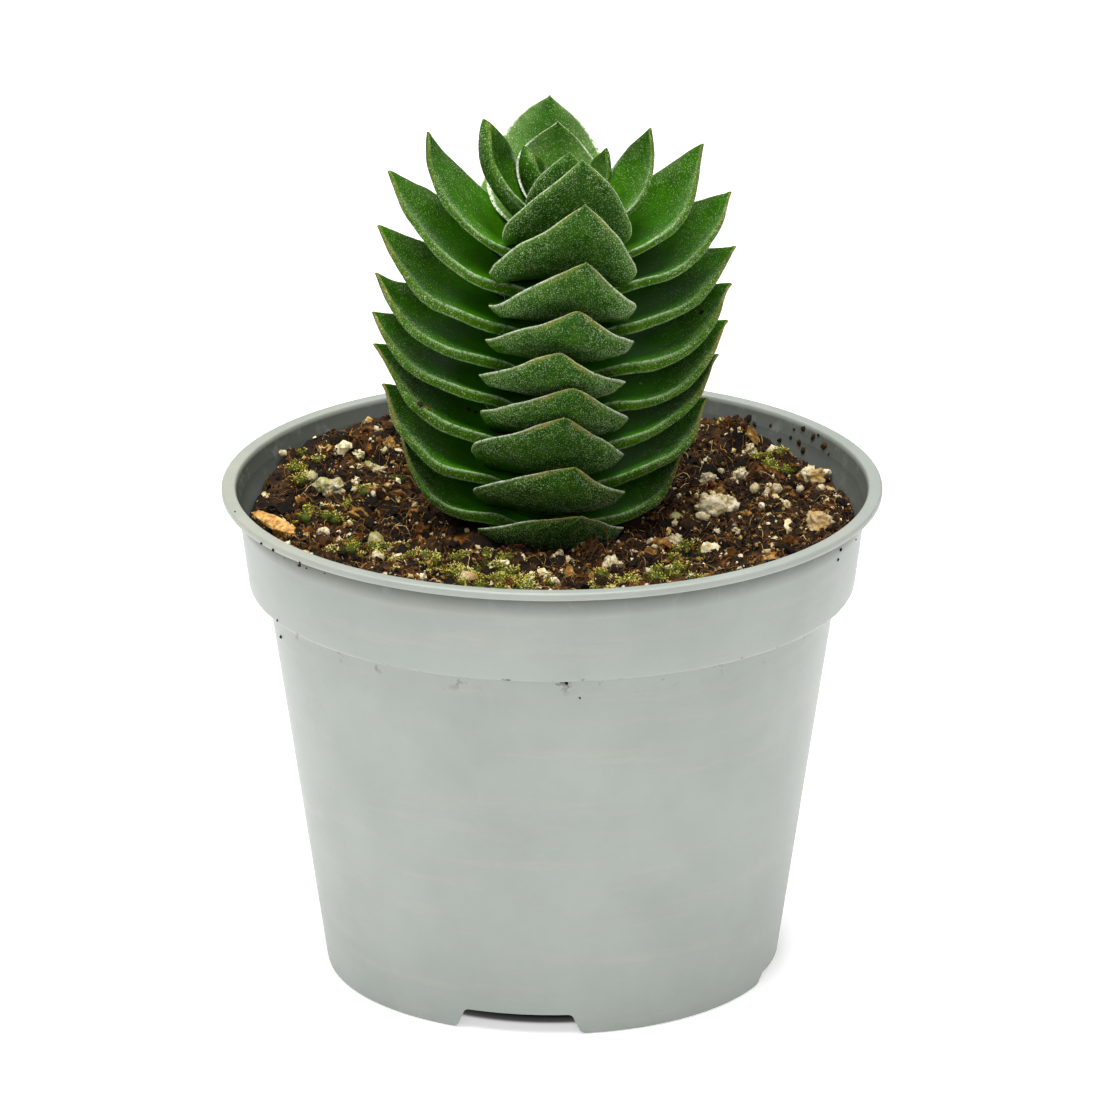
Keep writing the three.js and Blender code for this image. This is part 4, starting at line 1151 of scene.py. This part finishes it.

# %% [markdown]
# Smaller grit lies between: white crumbs of perlite, some of them tan or green with age. The larger
# ones are placed one by one where they are seen on the real pot, and the dust of them is scattered.

# %% Small grit
DUST_COUNT, DUST_SIZES = 300, (0.3, 1.1)
WHITE_GRIT = [  # x, y, size
    (30.6, 24, 1.7), (30.8, 8.5, 1.6), (27.8, 10.2, 1.6), (14.5, 7.7, 1.1), (15.6, -2.5, 0.8),
    (13.2, -12.4, 1), (28.6, 3.2, 1.2), (16.9, 9.3, 0.8), (16.9, -0.5, 1.9), (20.5, -2.1, 1.8),
    (38, 12, 1.6), (39, 6.5, 1.3), (36.8, 9.5, 1.4), (37.8, 16.5, 1.3), (34, 10, 1.2), (25.4, -18.9, 0.8),
    (29.2, -16.5, 1.4), (23.3, 20, 1), (-27.1, 8.9, 1.1), (-22, 15.1, 1.1), (-31, -5.4, 2),
    (-23.9, -9.9, 2), (-20.6, -18.1, 1.9), (-23.6, -18.9, 1.9), (-17.1, -16.5, 1.8), (-11.3, -25.9, 2.4),
    (-37, 18.8, 1.2), (-32.9, 13, 1.4), (-11.5, -8, 0.8), (-8.2, -14, 1), (-6.8, -24.3, 1.8),
    (0.4, -28.4, 1.5), (13.1, -25.5, 1.7), (15.6, -24.3, 2.2), (18.6, -26.3, 1.4), (-29, 4, 1.3),
    (22.3, -6.9, 0.9), (10.8, -15.2, 0.6)]
points, faces, _ = scatter(DUST_COUNT, 1, DUST_SIZES, lambda x, y: 0, sink=0)
for x, y, size in WHITE_GRIT:
    faces = np.concatenate([faces, BALLS[2][1] + len(points)])
    points = np.concatenate([points, lump(x, y, size, 2, 0, (0.75, 1.25), rough=0.2)])
aged(add_piece("perlite_grit", points, faces, perlite, sharp_deg=60))
print("grit", len(faces), "triangles")

# %% [markdown]
# Watering splashes peat about. A few bits stick to the leaves, the lip and the wall of the pot. Each
# is placed by where it is seen in the photograph: a ray from the camera, through a point of the
# upright plane in the pot's middle that faces the camera, finds the surface that the bit lies on.

# %% Bits of peat that stick to leaves and pot
ON_LEAVES = [  # x and z of the point looked through, size, tone
    (-17.9, 79.8, 1.2, 0.35), (-17, 79.2, 0.7, 0.6), (-20.7, 85.6, 0.9, 0.4), (-21.6, 85.2, 0.5, 0.7),
    (-11.5, 79, 1, 0.5), (20.3, 92.9, 0.9, 0.1), (24.3, 102.9, 0.6, 1), (-10.4, 78.6, 0.6, 0.3),
    (12, 82.7, 0.4, 0.9)]
ON_POT = [
    (26.7, 77.7, 1.1, 0.25), (27.5, 77, 0.8, 0.3), (34.2, 76.3, 0.8, 0.2), (33.6, 74.2, 1, 0.35),
    (32.5, 75, 0.6, 0.2), (35.5, 75.1, 0.9, 0.3), (34.2, 73.1, 1.2, 0.35), (37.1, 73.8, 1.2, 0.45),
    (29.7, 76.8, 0.6, 0.4), (31, 74.6, 0.8, 0.2), (36.2, 75.4, 0.5, 0.2), (37.6, 72.6, 0.7, 0.3),
    (32.9, 76.2, 0.5, 0.2), (-36, 80.4, 1, 0.4), (-35, 80.6, 0.5, 0.3), (39.3, 58.8, 0.7, 0.1),
    (41.4, 60.3, 0.4, 0.1), (39, 57.4, 0.4, 0.15), (-39.6, 59.8, 0.4, 0.3), (-38, 58.8, 0.5, 0.2),
    (-36.5, 57.6, 0.3, 0.3), (-34.4, 56.6, 0.6, 0.3), (-33.5, 56.2, 0.4, 0.3), (-31, 55.4, 0.3, 0.4),
    (-43.2, 64.3, 0.3, 0.2), (-37.5, 48.6, 0.4, 0.1), (-37, 46.2, 0.5, 0.2), (-34.4, 57, 0.4, 0.3),
    (2, 39.5, 0.7, 0.1), (3.8, 37.3, 0.4, 0.2)]
pot_tree = BVHTree.FromObject(pot, bpy.context.evaluated_depsgraph_get())
eye = camera.location / MM
ball, ball_faces = BALLS[1]
points, faces, tints = [], [], []
for spots, trees, unit in ((ON_LEAVES, leaf_trees, 1), (ON_POT, [pot_tree], MM)):
    for x, z, size, tone in spots:
        way = (Vector((x, 0, z)) - eye).normalized()
        hits = [leaves.ray_cast(eye * unit, way) for leaves in trees]
        hits = [(hit[3], hit[0] / unit) for hit in hits if hit[0] is not None]
        if hits:
            crumb = ball * (1 + 0.35 * random.uniform(-1, 1, (len(ball), 1))) * size / 2
            crumb = crumb * random.uniform(0.6, 1.3, 3) @ random_turn().T
            faces.append(ball_faces + len(ball) * len(points))
            points.append(crumb + min(hits)[1])
            tints.append(np.full(len(ball), tone))
stuck = add_piece("stuck_peat", np.concatenate(points), np.concatenate(faces), peat, sharp_deg=25)
set_number(stuck, "tint", np.concatenate(tints))
print("bits that stick", len(points))

# %% [markdown]
# The pot stands on a white light table, where the ground shows no shadow. Opal acrylic is matt and
# even. The table glows from a little way out. A narrow ring along the foot glows stronger: painted
# light on the floor seen through the notch. Under the pot the table is painted dark: a painted
# shadow, which keeps the notch dark. A lamp under a glass plate would do the same, but it would take
# far longer to render.

# %% Opal light table
FLOOR_REACH = 6  # in metres
FLOOR_RINGS = {  # radius where it starts and where it is full, in millimetres, and its strength
    "glow": (24, 34, 0.3), "inner": (26, 27, 0.5), "outer": (31.5, 30.5, 1), "painted_shadow_under_pot": (26.8, 25.8, 1)}
opal, tree, shader, place = new_material("opal_light_table", Roughness=0.9)
from_pot = node(tree, "VectorMath", {0: place}, operation="LENGTH")
rings = {name: node(tree, "MapRange", {"Value": from_pot, "From Min": start * MM, "From Max": full * MM,
                                       "To Max": most}) for name, (start, full, most) in FLOOR_RINGS.items()}
# A ring along the foot glows stronger: painted light on the floor seen through the notch.
ring = node(tree, "Math", {0: rings["inner"], 1: rings["outer"]}, operation="MULTIPLY")
glow = node(tree, "Math", {0: rings["glow"], 1: ring}, operation="MAXIMUM")
feed(glow, shader.inputs["Emission Strength"])
# Under the pot the table is painted dark: a painted shadow.
colour = node(tree, "Mix", {"Factor": rings["painted_shadow_under_pot"], "A": "#f4f4f4", "B": "#1c1a17"}, data_type="RGBA")
feed(colour, shader.inputs["Base Color"])
feed("#ffffff", shader.inputs["Emission Color"])
floor = bpy.data.objects.new("floor", bpy.data.meshes.new("floor"))
floor_corners = [(FLOOR_REACH * x, FLOOR_REACH * y, 0) for x, y in ((-1, -1), (1, -1), (1, 1), (-1, 1))]
floor.data.from_pydata(floor_corners, [], [[0, 1, 2, 3]])
floor.data.materials.append(opal)
bpy.context.scene.collection.objects.link(floor)
print("floor", 2 * FLOOR_REACH, "m wide")

# %% [markdown]
# The rest is a plain studio: a white room and two large soft lights. The one above makes the long
# soft shine on the leaves, and a weaker one in front opens the shadows between them. A sun lamp
# would be simpler, but its shadows are hard. Sizes and places of the lights are in metres.

# %% Lights and the white room
LIGHT_AIM, ROOM_BRIGHTNESS = Vector((0, 0, 0.07)), 0.4


def softbox(name, place, size, watts):
    """A square area light that points at the plant."""
    light = bpy.data.objects.new(name, bpy.data.lights.new(name, "AREA"))
    light.data.size, light.data.energy = size, watts
    light.location = place
    light.rotation_mode = "QUATERNION"
    light.rotation_quaternion = (LIGHT_AIM - light.location).to_track_quat("-Z", "Y")
    bpy.context.scene.collection.objects.link(light)
    print(name, "light", watts, "W")


softbox("overhead", (-0.08, -0.1, 1.1), 1.1, 24)
softbox("front", (-0.12, -1.7, 0.9), 0.8, 6)

world = bpy.data.worlds.new("white_room")
bpy.context.scene.world = world
world.use_nodes = True
feed("#ffffff", world.node_tree.nodes["Background"].inputs["Color"])
feed(ROOM_BRIGHTNESS, world.node_tree.nodes["Background"].inputs["Strength"])
bpy.context.scene.view_settings.view_transform = "Standard"
